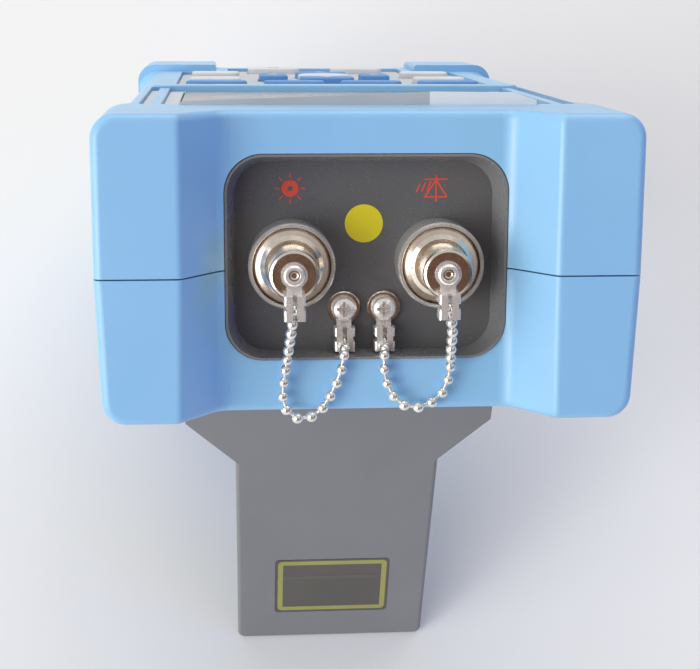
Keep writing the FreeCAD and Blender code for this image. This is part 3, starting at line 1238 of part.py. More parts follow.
def make_port_board():
    """Small circuit board under the two sockets."""
    return flat_piece("port_board", -S.port_board_width, 0, -S.side_cover_length * 0.5,
                      S.side_cover_length * 0.5, 1.0, S.board_thickness)


def make_power_jack():
    """Round-nosed power socket; origin at its mouth, hole along X."""
    body = new_body("power_jack")
    block = new_sketch(body, "YZ_Plane", -SOCKET_NOSE - S.jack_size)
    half = S.jack_size * 0.5
    rectangle(block, -half * 0.9, half * 0.9, -half, half)
    pad(body, block, S.jack_size)
    nose = new_sketch(body, "YZ_Plane", -SOCKET_NOSE - 1)
    pad(body, circle(nose, 0, 0, S.jack_bore + 1.2), SOCKET_NOSE + 1)
    pocket(body, circle(new_sketch(body, "YZ_Plane"), 0, 0, S.jack_bore), S.jack_depth)
    return body


def make_usb_socket():
    """Folded metal shell with its contact tongue; origin at its mouth."""
    body = new_body("data_socket")
    width, height = S.usb_width * 0.5, S.usb_height * 0.5
    shell = new_sketch(body, "YZ_Plane", -S.usb_length)
    pad(body, rounded_rectangle(shell, -width, width, -height, height, as_size(0.7)), S.usb_length)
    mouth = new_sketch(body, "YZ_Plane")
    pocket(body, rounded_rectangle(mouth, -width + 0.4, width - 0.4, -height + 0.4, height - 0.4,
                                   as_size(0.4)), S.usb_length - 1)
    tongue = new_sketch(body, "YZ_Plane", -S.usb_length + 0.5)
    pad(body, rectangle(tongue, -width + 1.6, width - 1.6, -0.5, 0.4), S.usb_length - 2)
    return body


# ---------------------------------------------------------------- everything in its place
AS_DRAWN = Rotation()
OPEN = Rotation(Vector(1, 0, 0), S.stand_open_angle.value)

make_front_shell()
make_back_shell()
put(copies("case_screws", make_case_screw,
           [((x, y, -S.screw_seat), AS_DRAWN) for x, y in case_screw_places()]))

put(make_stand(), 0, -S.hinge_place, -S.hinge_depth, OPEN)
put(make_stand_label(), 0, -S.hinge_place, -S.hinge_depth, OPEN)
PIN_MIDDLE = S.hinge_pin_reach - S.hinge_pin_length * 0.5
put(copies("hinge_pins", make_pin,
           [((PIN_MIDDLE * side, -S.hinge_place, -S.hinge_depth), AS_DRAWN) for side in LEFT_AND_RIGHT]))
put(make_battery_door(), 0, -S.door_place, RECESS_FLOOR + 0.05)
put(copies("door_screws", make_door_screw,
           [((0, -S.door_place + S.door_screw_along * end, RECESS_FLOOR + 0.05), AS_DRAWN)
            for end in LEFT_AND_RIGHT]))
put(make_battery(), 0, -S.door_place, RECESS_FLOOR + S.door_thickness + S.slip)

put(make_display_bezel(), 0, -WINDOW_PLACE, DISPLAY_FLOOR)
put(make_display_window(), 0, -WINDOW_PLACE, DISPLAY_FLOOR + S.bezel_thickness - 0.15 - S.window_thickness)
put(make_lcd(), 0, -WINDOW_PLACE, LCD_BOTTOM)
put(make_screen_film(), 0, -WINDOW_PLACE, DISPLAY_FLOOR + S.bezel_thickness + 0.05)
STRIP_ACROSS = (S.floor_half + S.rail_outer) * 0.5
put(copies("trim_strips", make_trim_strip,
           [((STRIP_ACROSS * side, -WINDOW_PLACE, DISPLAY_FLOOR), AS_DRAWN) for side in LEFT_AND_RIGHT]))
key_places = {name: (x, y, size) for name, x, y, size in KEYS}
key_places["enter_key"] = (ZERO, ZERO, None)
for name, (x, y, size) in key_places.items():
    put(make_key(name, size), x, y + ARROWS_CENTRE, PLATE_TOP)
put(make_keypad_plate())
put(make_keypad_mat())
put(make_main_board(), 0, 0, BOARD_TOP - S.board_thickness)
put(make_optical_module(), 0, -S.panel_depth - S.panel_thickness - 9.5, S.port_height - S.module_height * 0.5)

put(make_port_frame())
put(make_connector_panel())
for port, side in (("test", -1), ("laser", 1)):
    across = S.port_across * side
    place = (across, -S.panel_depth, S.port_height)
    put(make_collar(f"{port}_collar"), *place)
    put(make_adapter(f"{port}_adapter"), *place)
    put(make_sleeve(f"{port}_sleeve"), *place)
    put(make_cap(f"{port}_cap"), *place)
    put(make_cap_gasket(f"{port}_gasket"), across, S.cap_face - S.cap_end_wall, S.port_height)
    put(make_rivet(f"{port}_rivet"), across, S.cap_face, S.port_height)
    put(make_clasp(f"{port}_cap_clasp", S.rivet_radius + S.turn_gap), across, S.cap_face + 0.1, S.port_height)
    anchor = S.anchor_across * side
    put(make_anchor_post(f"{port}_anchor_post"), anchor, -S.panel_depth, S.anchor_height)
    put(make_clasp(f"{port}_anchor_clasp", S.anchor_shank_radius + S.turn_gap), anchor,
        -S.panel_depth + S.anchor_post_height + 0.05, S.anchor_height)
put(copies("anchor_screws", make_anchor_screw,
           [((S.anchor_across * side, -S.panel_depth + S.anchor_post_height + S.clasp_sheet + 0.1,
              S.anchor_height), AS_DRAWN) for side in LEFT_AND_RIGHT]))

# Each chain hangs from the cap's clasp straight down in the leaning case, meets the wall under the
# panel, swings round below the case's edge and climbs to the fixed clasp.
TEST_CHAIN = [
    (-15.5, 2.1, -6.0), (-16.1, 1.5, -9.2), (-16.6, -1.0, -11.9), (-17.0, -5.4, -16.8),
    (-17.4, -8.8, -21.2), (-16.6, -9.2, -24.8), (-13.2, -9.2, -28.3), (-9.0, -9.2, -29.0),
    (-5.2, -9.2, -25.8), (-3.7, -9.2, -21.0), (-3.6, -9.15, -19.2), (-3.8, -9.7, -17.4),
    (-4.1, -11.9, -17.0), (-4.2, -14.9, -16.2)]
LASER_CHAIN = [
    (15.5, 2.1, -6.0), (15.9, 1.5, -9.2), (16.1, -1.0, -11.9), (16.5, -5.4, -16.8),
    (17.1, -8.8, -22.6), (17.2, -9.2, -27.8), (15.9, -9.2, -30.2), (13.2, -9.2, -31.2),
    (10.4, -9.2, -30.1), (6.9, -9.2, -25.1), (5.3, -9.2, -21.0), (4.9, -9.15, -19.2),
    (4.6, -9.7, -17.4), (4.3, -11.9, -17.0), (4.2, -14.9, -16.2)]
put(make_chain("test_chain", TEST_CHAIN))
put(make_chain("laser_chain", LASER_CHAIN))

COVER_LOW = -S.side_cover_top - S.side_cover_height
put(make_side_cover(), SIDE_FLOOR + S.side_cover_thickness * 0.5 + 0.1, -S.side_place,
    COVER_LOW + S.side_cover_thickness * 0.5)
put(make_port_board(), LINER_INSIDE - S.slip, -S.side_place,
    SOCKET_HEIGHT - S.jack_size * 0.5 - S.board_thickness)
put(make_power_jack(), SOCKET_MOUTH, -S.side_place + S.jack_across, SOCKET_HEIGHT)
put(make_usb_socket(), SOCKET_MOUTH, -S.side_place - S.jack_across, SOCKET_HEIGHT)


# ---------------------------------------------------------------- lean on the stand and write
def lean_angle():
    """The case's tilt at which its foot end and the open stand's foot share one level."""
    swing = math.radians(S.stand_open_angle.value)
    along = S.stand_foot_radius.value - S.stand_length.value
    inset = (PLATE_INSET + S.stand_thickness * 0.5).value
    foot_y = along * math.cos(swing) - inset * math.sin(swing) - S.hinge_place.value
    foot_z = along * math.sin(swing) + inset * math.cos(swing) - S.hinge_depth.value
    edge = S.end_edge_radius.value
    draft = math.tan(math.radians(S.draft_angle.value)) * S.back_depth.value
    edge_y = edge + draft - S.case_length.value
    edge_z = edge - S.back_depth.value
    rise = math.atan2(edge_z - foot_z, foot_y - edge_y)
    reach = math.hypot(edge_z - foot_z, foot_y - edge_y)
    return math.degrees(rise - math.asin((edge - S.stand_foot_radius.value) / reach))


doc.recompute()
for feature in doc.Objects:
    if "Invalid" in feature.State or "Error" in feature.State:
        raise ValueError(f"{feature.Label} did not build: {feature.State}")
    if feature.TypeId == "PartDesign::Pocket":
        if feature.Shape.Volume > feature.BaseFeature.Shape.Volume - 1e-3:
            raise ValueError(f"{feature.Label} of {feature.getParentGeoFeatureGroup().Label} cuts nothing")

lean = Placement(Vector(), Rotation(Vector(1, 0, 0), lean_angle()))
for obj, place in placed.items():
    obj.Placement = lean.multiply(place)
whole = Part.makeCompound([obj.Shape for obj in placed]).optimalBoundingBox(False, False)
to_origin = Placement(Vector(-whole.Center.x, -whole.Center.y, -whole.ZMin), Rotation())
for obj, place in placed.items():
    obj.Placement = to_origin.multiply(lean).multiply(place)

os.makedirs("parts", exist_ok=True)
for obj in placed:
    shape = obj.Shape
    if shape.isNull() or not shape.isValid():
        raise ValueError(f"{obj.Label} is not a sound solid")
    shape.exportStep(f"parts/{obj.Label}.step")
print(f"{len(placed)} sub-parts, lean {lean_angle():.2f} degrees, "
      f"{whole.XLength:.1f} x {whole.YLength:.1f} x {whole.ZLength:.1f} mm, "
      f"origin {to_origin.Base.y:.5f} {to_origin.Base.z:.5f}")
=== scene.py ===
import json
import math

import bpy
from mathutils import Matrix, Vector

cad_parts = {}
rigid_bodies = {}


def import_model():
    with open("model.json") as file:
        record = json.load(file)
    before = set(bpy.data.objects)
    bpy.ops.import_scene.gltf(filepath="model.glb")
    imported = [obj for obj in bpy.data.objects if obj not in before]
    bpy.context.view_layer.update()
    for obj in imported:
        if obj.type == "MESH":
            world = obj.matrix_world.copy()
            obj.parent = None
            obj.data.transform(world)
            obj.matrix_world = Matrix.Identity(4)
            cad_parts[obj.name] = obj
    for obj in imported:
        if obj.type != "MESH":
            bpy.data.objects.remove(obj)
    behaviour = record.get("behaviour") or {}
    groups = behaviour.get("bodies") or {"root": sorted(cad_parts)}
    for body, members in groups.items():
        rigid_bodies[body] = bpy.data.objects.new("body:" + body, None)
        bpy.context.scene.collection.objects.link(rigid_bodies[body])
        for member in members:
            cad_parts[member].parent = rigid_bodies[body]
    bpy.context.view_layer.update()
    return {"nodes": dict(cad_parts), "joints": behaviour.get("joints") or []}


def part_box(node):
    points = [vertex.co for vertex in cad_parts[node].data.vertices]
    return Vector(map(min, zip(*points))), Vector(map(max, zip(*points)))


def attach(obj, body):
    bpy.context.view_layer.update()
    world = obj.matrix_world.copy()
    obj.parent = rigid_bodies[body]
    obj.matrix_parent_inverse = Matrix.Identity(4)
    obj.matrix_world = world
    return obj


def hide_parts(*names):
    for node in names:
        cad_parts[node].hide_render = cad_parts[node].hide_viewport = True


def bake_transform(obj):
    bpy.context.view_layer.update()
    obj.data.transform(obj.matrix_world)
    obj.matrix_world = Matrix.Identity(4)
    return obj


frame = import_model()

nodes = frame["nodes"]

# ---------------------------------------------------------------- how the tester stands
# The tester leans back on its kickstand. Its pieces are made in the tester's own directions: x to
# the right as the screen is read, y along the case to the fibre ports (0 at its end faces), z out
# of the screen (0 at the seam between the shells). One matrix then leans them as the case leans.
joints = {joint["name"]: joint for joint in frame["joints"]}
along_case = Vector(joints["test_cap_travel"]["axis"])
out_of_screen = -Vector(joints["enter_key_press"]["axis"])
stand_hinge = Vector(joints["stand_hinge"]["pos_m"])
hinge_on_case = Vector((0, -0.076, -0.0274))
lean = Matrix((Vector((1, 0, 0)), along_case, out_of_screen)).transposed()
on_case = Matrix.Translation(stand_hinge - lean @ hinge_on_case) @ lean.to_4x4()
stand_swing = math.radians(-joints["stand_hinge"]["range_deg"][0])
on_stand = on_case @ Matrix.Translation(hinge_on_case) @ Matrix.Rotation(stand_swing, 4, "X")


def deselect_all():
    bpy.ops.object.select_all(action="DESELECT")


def middle_of(node):
    """The middle of a CAD node's box, in the tester's own directions."""
    low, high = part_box(node)
    return on_case.inverted() @ ((Vector(low) + Vector(high)) * 0.5)


def new_piece(name, body, finish, place=on_case):
    """Names the object just made, bakes its place into its mesh, and gives it a body and a finish."""
    piece = bpy.context.object
    piece.name = name
    piece.data.name = name
    deselect_all()
    piece.select_set(True)
    bpy.ops.object.transform_apply(location=True, rotation=True, scale=True)
    piece.data.transform(place)
    piece.data.materials.clear()
    piece.data.materials.append(finish)
    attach(piece, body)
    return piece


# ---------------------------------------------------------------- table, light and camera
# The tester stands on a broad white table beside a large window with a brighter patch of sky in
# it. The room is pale overhead, and a weak bluish light comes from the other side.
deselect_all()
bpy.ops.mesh.primitive_plane_add(size=8, location=(0, 0, 0))
table = bpy.context.object
table.name = "table"
white_top = bpy.data.materials.new("white_table_top")
white_top.use_nodes = True
shader = white_top.node_tree.nodes["Principled BSDF"]
shader.inputs["Roughness"].default_value = 0.7
shader.inputs["Specular IOR Level"].default_value = 0.2
cloud = white_top.node_tree.nodes.new("ShaderNodeTexNoise")
cloud.inputs["Scale"].default_value = 1.5
paleness = white_top.node_tree.nodes.new("ShaderNodeMapRange")
paleness.inputs["To Min"].default_value = 0.75
paleness.inputs["To Max"].default_value = 0.79
place = white_top.node_tree.nodes.new("ShaderNodeTexCoord")
white_top.node_tree.links.new(place.outputs["Object"], cloud.inputs["Vector"])
white_top.node_tree.links.new(cloud.outputs["Fac"], paleness.inputs["Value"])
white_top.node_tree.links.new(paleness.outputs["Result"], shader.inputs["Base Color"])
table.data.materials.append(white_top)


ports = Vector((0, 0.08, 0.12))
daylight = (1.0, 0.985, 0.96)


def soft_lamp(name, spot, width, height, power, colour):
    """A rectangular lamp that faces the ports."""
    lamp = bpy.data.lights.new(name, "AREA")
    lamp.shape = "RECTANGLE"
    lamp.size = width
    lamp.size_y = height
    lamp.energy = power
    lamp.color = colour
    held = bpy.data.objects.new(name, lamp)
    held.location = spot
    held.rotation_euler = (ports - Vector(spot)).to_track_quat("-Z", "Y").to_euler()
    bpy.context.scene.collection.objects.link(held)
    return held


soft_lamp("window", (1.10, 0.78, 0.74), 1.7, 1.3, 14.0, daylight)
soft_lamp("window_sky", (1.05, 0.72, 0.60), 0.45, 0.6, 5.0, daylight)
soft_lamp("ceiling_lamp", (-0.15, -1.10, 1.2), 1.8, 1.2, 14.0, (1.0, 1.0, 1.0))
blue_wall = soft_lamp("far_wall", (-1.15, 0.55, 0.42), 0.6, 0.3, 0.22, (0.08, 0.16, 1.0))
blue_wall.data.spread = math.radians(40)
blue_wall.visible_glossy = False

# The room: bright overhead, with a dark brown door behind the viewer for the plated pieces to
# reflect, and a shaded blue wall low down on the side away from the window.
room = bpy.data.worlds.new("room")
bpy.context.scene.world = room
room.use_nodes = True
room_nodes = room.node_tree.nodes
room_links = room.node_tree.links
sky = room_nodes["Background"]
way = room_nodes.new("ShaderNodeTexCoord")
split = room_nodes.new("ShaderNodeSeparateXYZ")
room_links.new(way.outputs["Generated"], split.inputs["Vector"])
height = room_nodes.new("ShaderNodeValToRGB")
height.color_ramp.elements[0].position = 0.10
height.color_ramp.elements[0].color = (0.62, 0.60, 0.58, 1)
height.color_ramp.elements[1].position = 0.75
height.color_ramp.elements[1].color = (1.0, 0.99, 0.97, 1)
room_links.new(split.outputs["Z"], height.inputs["Fac"])


def patch_of_room(aim, near, full, colour, under):
    """A patch of the room in another colour, round the direction aimed at."""
    facing = room_nodes.new("ShaderNodeVectorMath")
    facing.operation = "DOT_PRODUCT"
    facing.inputs[1].default_value = aim
    room_links.new(way.outputs["Generated"], facing.inputs[0])
    cover = room_nodes.new("ShaderNodeMapRange")
    cover.inputs["From Min"].default_value = near
    cover.inputs["From Max"].default_value = full
    room_links.new(facing.outputs["Value"], cover.inputs["Value"])
    seen = room_nodes.new("ShaderNodeMix")
    seen.data_type = "RGBA"
    seen.inputs["B"].default_value = (*colour, 1)
    room_links.new(cover.outputs["Result"], seen.inputs["Factor"])
    room_links.new(under, seen.inputs["A"])
    return seen.outputs["Result"]


brown_door = patch_of_room((-0.08, 0.84, 0.54), 0.83, 0.955, (0.22, 0.12, 0.085),
                           height.outputs["Color"])
shaded_side = patch_of_room((-0.95, 0.28, 0.05), 0.72, 0.95, (0.10, 0.14, 0.32), brown_door)
room_links.new(shaded_side, sky.inputs["Color"])
sky.inputs["Strength"].default_value = 0.63

camera_data = bpy.data.cameras.new("camera")
camera_data.sensor_width = 36
camera_data.lens = 81.07
camera = bpy.data.objects.new("camera", camera_data)
camera.location = (0.02929, 0.26009, 0.43080)
camera.rotation_euler = [math.radians(turn) for turn in (33.267, -3.430, 176.935)]
bpy.context.scene.collection.objects.link(camera)
bpy.context.scene.camera = camera
bpy.context.scene.view_settings.view_transform = "Standard"


# ---------------------------------------------------------------- case shells
# Two shells of blue moulded plastic meet at a seam all round. The moulding has a fine even
# texture, a little cloudiness in the colour and a polish that varies slightly.
def object_noise(tree, scale, detail):
    """Noise of so many cells to the metre, fixed to the piece."""
    spot = tree.nodes.new("ShaderNodeTexCoord")
    found = tree.nodes.new("ShaderNodeTexNoise")
    found.inputs["Scale"].default_value = scale
    found.inputs["Detail"].default_value = detail
    tree.links.new(spot.outputs["Object"], found.inputs["Vector"])
    return found.outputs["Fac"]


def spread(tree, value, low, high, to_low, to_high):
    """Value's stretch from low to high, laid on another range."""
    laid = tree.nodes.new("ShaderNodeMapRange")
    laid.inputs["From Min"].default_value = low
    laid.inputs["From Max"].default_value = high
    laid.inputs["To Min"].default_value = to_low
    laid.inputs["To Max"].default_value = to_high
    tree.links.new(value, laid.inputs["Value"])
    return laid.outputs["Result"]


def bumped(tree, shader, height, depth, strength=0.5):
    """Raises a piece's skin by a height."""
    skin = tree.nodes.new("ShaderNodeBump")
    skin.inputs["Strength"].default_value = strength
    skin.inputs["Distance"].default_value = depth
    tree.links.new(height, skin.inputs["Height"])
    tree.links.new(skin.outputs["Normal"], shader.inputs["Normal"])


def clouded(tree, shader, colour, deep, scale):
    """Base colour that drifts between two shades."""
    shades = tree.nodes.new("ShaderNodeValToRGB")
    shades.color_ramp.elements[0].position = 0.3
    shades.color_ramp.elements[0].color = (*deep, 1)
    shades.color_ramp.elements[1].position = 0.7
    shades.color_ramp.elements[1].color = (*colour, 1)
    tree.links.new(object_noise(tree, scale, 3.0), shades.inputs["Fac"])
    tree.links.new(shades.outputs["Color"], shader.inputs["Base Color"])
    return shades.outputs["Color"]


patchiness = 0.03


def moulded(name, colour, deep, roughness, grain=5200.0, grain_depth=0.00003, gloss=0.5):
    """Moulded plastic or rubber: clouded colour, patchy polish and a fine pebbled skin."""
    finish = bpy.data.materials.new(name)
    finish.use_nodes = True
    tree = finish.node_tree
    shader = tree.nodes["Principled BSDF"]
    shader.inputs["Specular IOR Level"].default_value = gloss
    clouded(tree, shader, colour, deep, 38.0)
    polish = spread(tree, object_noise(tree, 120.0, 4.0), 0.3, 0.7,
                    roughness - patchiness, roughness + patchiness)
    tree.links.new(polish, shader.inputs["Roughness"])
    bumped(tree, shader, object_noise(tree, grain, 1.0), grain_depth)
    return finish


def coat(finish, *names):
    """Gives CAD nodes a finish."""
    for name in names:
        for holder in nodes[name].material_slots:
            holder.material = finish


blue_shell = moulded("blue_shell", (0.272, 0.535, 0.815), (0.252, 0.510, 0.785), 0.32)
coat(blue_shell, "front_shell", "back_shell", "battery_door")

# ---------------------------------------------------------------- port frame and panel
# A dark satin frame set into both shells slopes in to a charcoal panel with a sanded, flecked
# face. The ports' signs are screen-printed on the panel, and a plain yellow disc between them.
dark_frame = moulded("dark_frame", (0.205, 0.207, 0.215), (0.180, 0.182, 0.190), 0.27, gloss=0.9)
charcoal_panel = moulded("charcoal_panel", (0.112, 0.112, 0.119), (0.096, 0.096, 0.102), 0.50,
                         grain=2600.0, grain_depth=0.00006)
panel_tree = charcoal_panel.node_tree
panel_shader = panel_tree.nodes["Principled BSDF"]
fleck_cover = spread(panel_tree, object_noise(panel_tree, 3400.0, 1.0), 0.64, 0.74, 0.0, 0.22)
flecked = panel_tree.nodes.new("ShaderNodeMix")
flecked.data_type = "RGBA"
flecked.inputs["B"].default_value = (0.40, 0.40, 0.39, 1)
panel_tree.links.new(fleck_cover, flecked.inputs["Factor"])
panel_tree.links.new(panel_shader.inputs["Base Color"].links[0].from_socket, flecked.inputs["A"])
panel_tree.links.new(flecked.outputs["Result"], panel_shader.inputs["Base Color"])
coat(dark_frame, "port_frame")
coat(charcoal_panel, "connector_panel")

ink_depth = 0.00004
layer_step = 0.000002


def flat_ring(sides, outer, inner, across, up, turn=0.0):
    """A flat outline of so many sides; a disc when it has no inner radius."""
    deselect_all()
    bpy.ops.mesh.primitive_circle_add(vertices=sides, radius=outer, fill_type="NGON",
                                      location=(across, up, 0), rotation=(0, 0, turn))
    if inner:
        bpy.ops.object.mode_set(mode="EDIT")
        bpy.ops.mesh.inset(thickness=(outer - inner) * math.cos(math.pi / sides))
        bpy.ops.mesh.delete(type="FACE")
        bpy.ops.object.mode_set(mode="OBJECT")
    return bpy.context.object


def flat_stroke(start, end, width):
    """A flat bar from one point to another."""
    start, end = Vector(start), Vector(end)
    run = end - start
    deselect_all()
    bpy.ops.mesh.primitive_plane_add(size=1, location=(*((start + end) * 0.5), 0),
                                     rotation=(0, 0, math.atan2(run.y, run.x)))
    bar = bpy.context.object
    bar.scale = (run.length, width, 1)
    return bar


def printed(name, parts, body, finish, place):
    """Joins flat shapes and gives them an ink's thickness."""
    deselect_all()
    for layer, part in enumerate(parts):
        part.location.z = layer * layer_step
        part.select_set(True)
    bpy.context.view_layer.objects.active = parts[0]
    bpy.ops.object.transform_apply(location=True, rotation=True, scale=True)
    if len(parts) > 1:
        bpy.ops.object.join()
    bpy.ops.object.mode_set(mode="EDIT")
    bpy.ops.mesh.select_all(action="SELECT")
    bpy.ops.mesh.extrude_region_move(TRANSFORM_OT_translate={"value": (0, 0, ink_depth)})
    bpy.ops.mesh.select_all(action="SELECT")
    bpy.ops.mesh.normals_make_consistent(inside=False)
    bpy.ops.object.mode_set(mode="OBJECT")
    return new_piece(name, body, finish, place)


def ink(name, colour):
    faded = tuple(part * 0.85 for part in colour)
    return moulded(name, colour, faded, 0.5, grain=2600.0, grain_depth=0.00002)


red_ink = ink("red_ink", (0.74, 0.075, 0.045))
yellow_ink = ink("yellow_ink", (0.80, 0.68, 0.02))

# Drawn on the panel's face as the user holds the screen up: right is right, up is out of the screen.
panel_face = -0.01785
on_panel = (on_case @ Matrix.Translation((0, panel_face + ink_depth, 0))
            @ Matrix.Rotation(math.pi / 2, 4, "X"))
port_across = abs(middle_of("test_collar").x)
sun_height = 0.0159
sun_radius, sun_eye = 0.00176, 0.00056
ray_start, ray_end, ray_width = 0.00225, 0.00320, 0.00028
sun = [flat_ring(40, sun_radius, sun_eye, port_across, sun_height)]
for ray in range(8):
    aim = Vector((math.cos(ray * math.pi / 4), math.sin(ray * math.pi / 4)))
    centre = Vector((port_across, sun_height))
    sun.append(flat_stroke(centre + aim * ray_start, centre + aim * ray_end, ray_width))
printed("laser_port_sun", sun, "case", red_ink, on_panel)

stroke_width = 0.00032
diode = [
    flat_stroke((-0.0126, 0.0177), (-0.0175, 0.0177), stroke_width),
    flat_stroke((-0.0151, 0.0187), (-0.0151, 0.0130), stroke_width),
    flat_stroke((-0.0126, 0.0140), (-0.0175, 0.0140), stroke_width),
    flat_stroke((-0.0151, 0.0176), (-0.0128, 0.0140), stroke_width),
    flat_stroke((-0.0151, 0.0176), (-0.0174, 0.0140), stroke_width),
]
for step in range(3):
    shift = 0.00112 * step
    outer_end = (shift - 0.0140, 0.0173 - shift * 0.25)
    inner_end = (shift - 0.0132, 0.0152 - shift * 0.1)
    diode.append(flat_stroke(outer_end, inner_end, stroke_width))
printed("test_port_sign", diode, "case", red_ink, on_panel)

disc_radius, disc_height = 0.0040, 0.0085
printed("yellow_disc", [flat_ring(64, disc_radius, 0, 0, disc_height)], "case", yellow_ink, on_panel)


# ---------------------------------------------------------------- ports, caps and collars
# Turned brass plated bright: a collar round each port, a screw-on cap, the threaded barrel under
# it. The plating is warm and slightly orange-peeled.
def plated(name, colour, roughness, peel=0.00001, haze=0.08, metal=1.0):
    """Plated metal: drifting tone, patchy haze and a slight orange peel."""
    finish = bpy.data.materials.new(name)
    finish.use_nodes = True
    tree = finish.node_tree
    shader = tree.nodes["Principled BSDF"]
    shader.inputs["Metallic"].default_value = metal
    clouded(tree, shader, colour, [part * 0.86 for part in colour], 350.0)
    hazed = spread(tree, object_noise(tree, 900.0, 4.0), 0.3, 0.7, roughness, roughness + haze)
    tree.links.new(hazed, shader.inputs["Roughness"])
    bumped(tree, shader, object_noise(tree, 1600.0, 2.0), peel, 0.35)
    return finish


bright_plate = plated("bright_plate", (0.84, 0.75, 0.65), 0.16)
collar_plate = plated("collar_plate", (0.97, 0.95, 0.91), 0.22, peel=0.000003, haze=0.04, metal=0.75)
soft_nickel = plated("soft_nickel", (0.97, 0.95, 0.92), 0.24, peel=0.000004, haze=0.05, metal=0.65)
chain_nickel = plated("chain_nickel", (0.92, 0.90, 0.87), 0.14, metal=0.85)
warm_plate = plated("warm_plate", (0.78, 0.70, 0.60), 0.14)
steel = plated("steel", (0.62, 0.62, 0.61), 0.25)
sheet_metal = plated("sheet_metal", (0.60, 0.61, 0.62), 0.35)
ceramic = moulded("white_ceramic", (0.80, 0.79, 0.74), (0.76, 0.75, 0.70), 0.2)
black_rubber = moulded("black_rubber", (0.02, 0.02, 0.02), (0.015, 0.015, 0.015), 0.7)
for port in ("test", "laser"):
    coat(bright_plate, f"{port}_cap")
    coat(collar_plate, f"{port}_collar")
    coat(soft_nickel, f"{port}_rivet", f"{port}_cap_clasp", f"{port}_anchor_clasp")
    coat(chain_nickel, f"{port}_chain")
    coat(warm_plate, f"{port}_adapter")
    coat(bright_plate, f"{port}_anchor_post")
    coat(ceramic, f"{port}_sleeve")
    coat(black_rubber, f"{port}_gasket")
coat(steel, "case_screws", "door_screws", "hinge_pins", "data_socket")
coat(soft_nickel, "anchor_screws")
coat(sheet_metal, "optical_module", "lcd_module")

# The rivet is a tube: the cap's own plated face shows at the bottom of its eye, slightly dished.
eye_radius, eye_place = 0.00114, 0.0007
dish_step, dish_depth = 0.0003, 0.0001
for port in ("test", "laser"):
    eye = middle_of(f"{port}_rivet")
    deselect_all()
    bpy.ops.mesh.primitive_circle_add(vertices=32, radius=eye_radius, fill_type="NGON",
                                      location=(eye.x, eye_place, eye.z), rotation=(-math.pi / 2, 0, 0))
    bpy.ops.object.mode_set(mode="EDIT")
    bpy.ops.mesh.inset(thickness=dish_step)
    bpy.ops.mesh.inset(thickness=dish_step)
    bpy.ops.transform.translate(value=(0, -dish_depth, 0))
    bpy.ops.object.mode_set(mode="OBJECT")
    new_piece(f"{port}_cap_eye", f"{port}_cap", bright_plate)

# ---------------------------------------------------------------- ball chains
# Each cap hangs on a bead chain: hollow plated balls, loose on short links, from the clasp under
# the cap to the clasp screwed to the panel.
def merged_copy(node):
    """A CAD node's shape as one joined-up mesh of its own, selected and active."""
    deselect_all()
    copied = nodes[node].copy()
    copied.data = copied.data.copy()
    bpy.context.scene.collection.objects.link(copied)
    copied.select_set(True)
    bpy.context.view_layer.objects.active = copied
    bpy.ops.object.parent_clear(type="CLEAR_KEEP_TRANSFORM")
    bpy.ops.object.mode_set(mode="EDIT")
    bpy.ops.mesh.select_all(action="SELECT")
    bpy.ops.mesh.remove_doubles(threshold=0.000001)
    bpy.ops.object.mode_set(mode="OBJECT")
    return copied


for port, side in (("test", -1), ("laser", 1)):
    chain = merged_copy(f"{port}_chain")
    chain.name = f"{port}_bead_chain"
    bpy.ops.object.shade_smooth_by_angle(angle=math.radians(40))
    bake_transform(chain)
    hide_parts(f"{port}_chain")

# ---------------------------------------------------------------- display
# A dark window in a light grey frame, with the maker's protective film still on it. The film's
# top edge has come loose: it stands up over the band, folds down to it, and carries a white strip.
pale_grey = moulded("pale_grey_trim", (0.62, 0.64, 0.67), (0.58, 0.60, 0.63), 0.45)
dark_glass = moulded("display_glass", (0.020, 0.022, 0.022), (0.016, 0.018, 0.019), 0.12, grain_depth=0.0)
film = moulded("clear_film", (0.56, 0.57, 0.58), (0.48, 0.49, 0.51), 0.20,
               grain_depth=0.000006, gloss=0.3)
film.node_tree.nodes["Principled BSDF"].inputs["Transmission Weight"].default_value = 0.85
curled_film = moulded("curled_film", (0.60, 0.605, 0.61), (0.46, 0.465, 0.47), 0.35)
white_strip = moulded("white_strip", (0.93, 0.92, 0.91), (0.88, 0.87, 0.86), 0.5)
coat(pale_grey, "display_bezel", "trim_strips")
coat(dark_glass, "display_window")
coat(film, "screen_film")

band_top = 0.0325
fold = (0, 0.0002, -0.0035)
edge_trim = 0.00005
strip_depth, strip_thickness = 0.0052, 0.00004
strip_start, strip_end = -0.0148, -0.0378


def cut_past(*planes):
    """Cuts what is being edited at each plane and clears what lies past it."""
    for spot, normal, filled in planes:
        bpy.ops.mesh.select_all(action="SELECT")
        bpy.ops.mesh.bisect(plane_co=spot, plane_no=normal, use_fill=filled, clear_outer=True)


def cut_film(plane):
    """A copy of the film in the tester's directions, cut at a plane and left open to edit."""
    kept = merged_copy("screen_film")
    kept.data.transform(on_case.inverted())
    bpy.ops.object.mode_set(mode="EDIT")
    cut_past(plane)


def fold_down():
    """Turns the film's loose edge down to the band in front of it."""
    bpy.ops.mesh.select_all(action="SELECT")
    bpy.ops.mesh.extrude_region_move(TRANSFORM_OT_translate={"value": fold})
    cut_past(((0, 0, band_top), (0, 0, -1), True))


film_edge = max((on_case.inverted() @ nodes["screen_film"].matrix_world @ vertex.co).y
                for vertex in nodes["screen_film"].data.vertices)
loose_edge = ((0, film_edge - edge_trim, 0), (0, -1, 0), False)

cut_film(loose_edge)
fold_down()
bpy.ops.mesh.select_all(action="SELECT")
bpy.ops.mesh.normals_make_consistent(inside=False)
bpy.ops.object.mode_set(mode="OBJECT")
new_piece("film_curl", "case", curled_film)

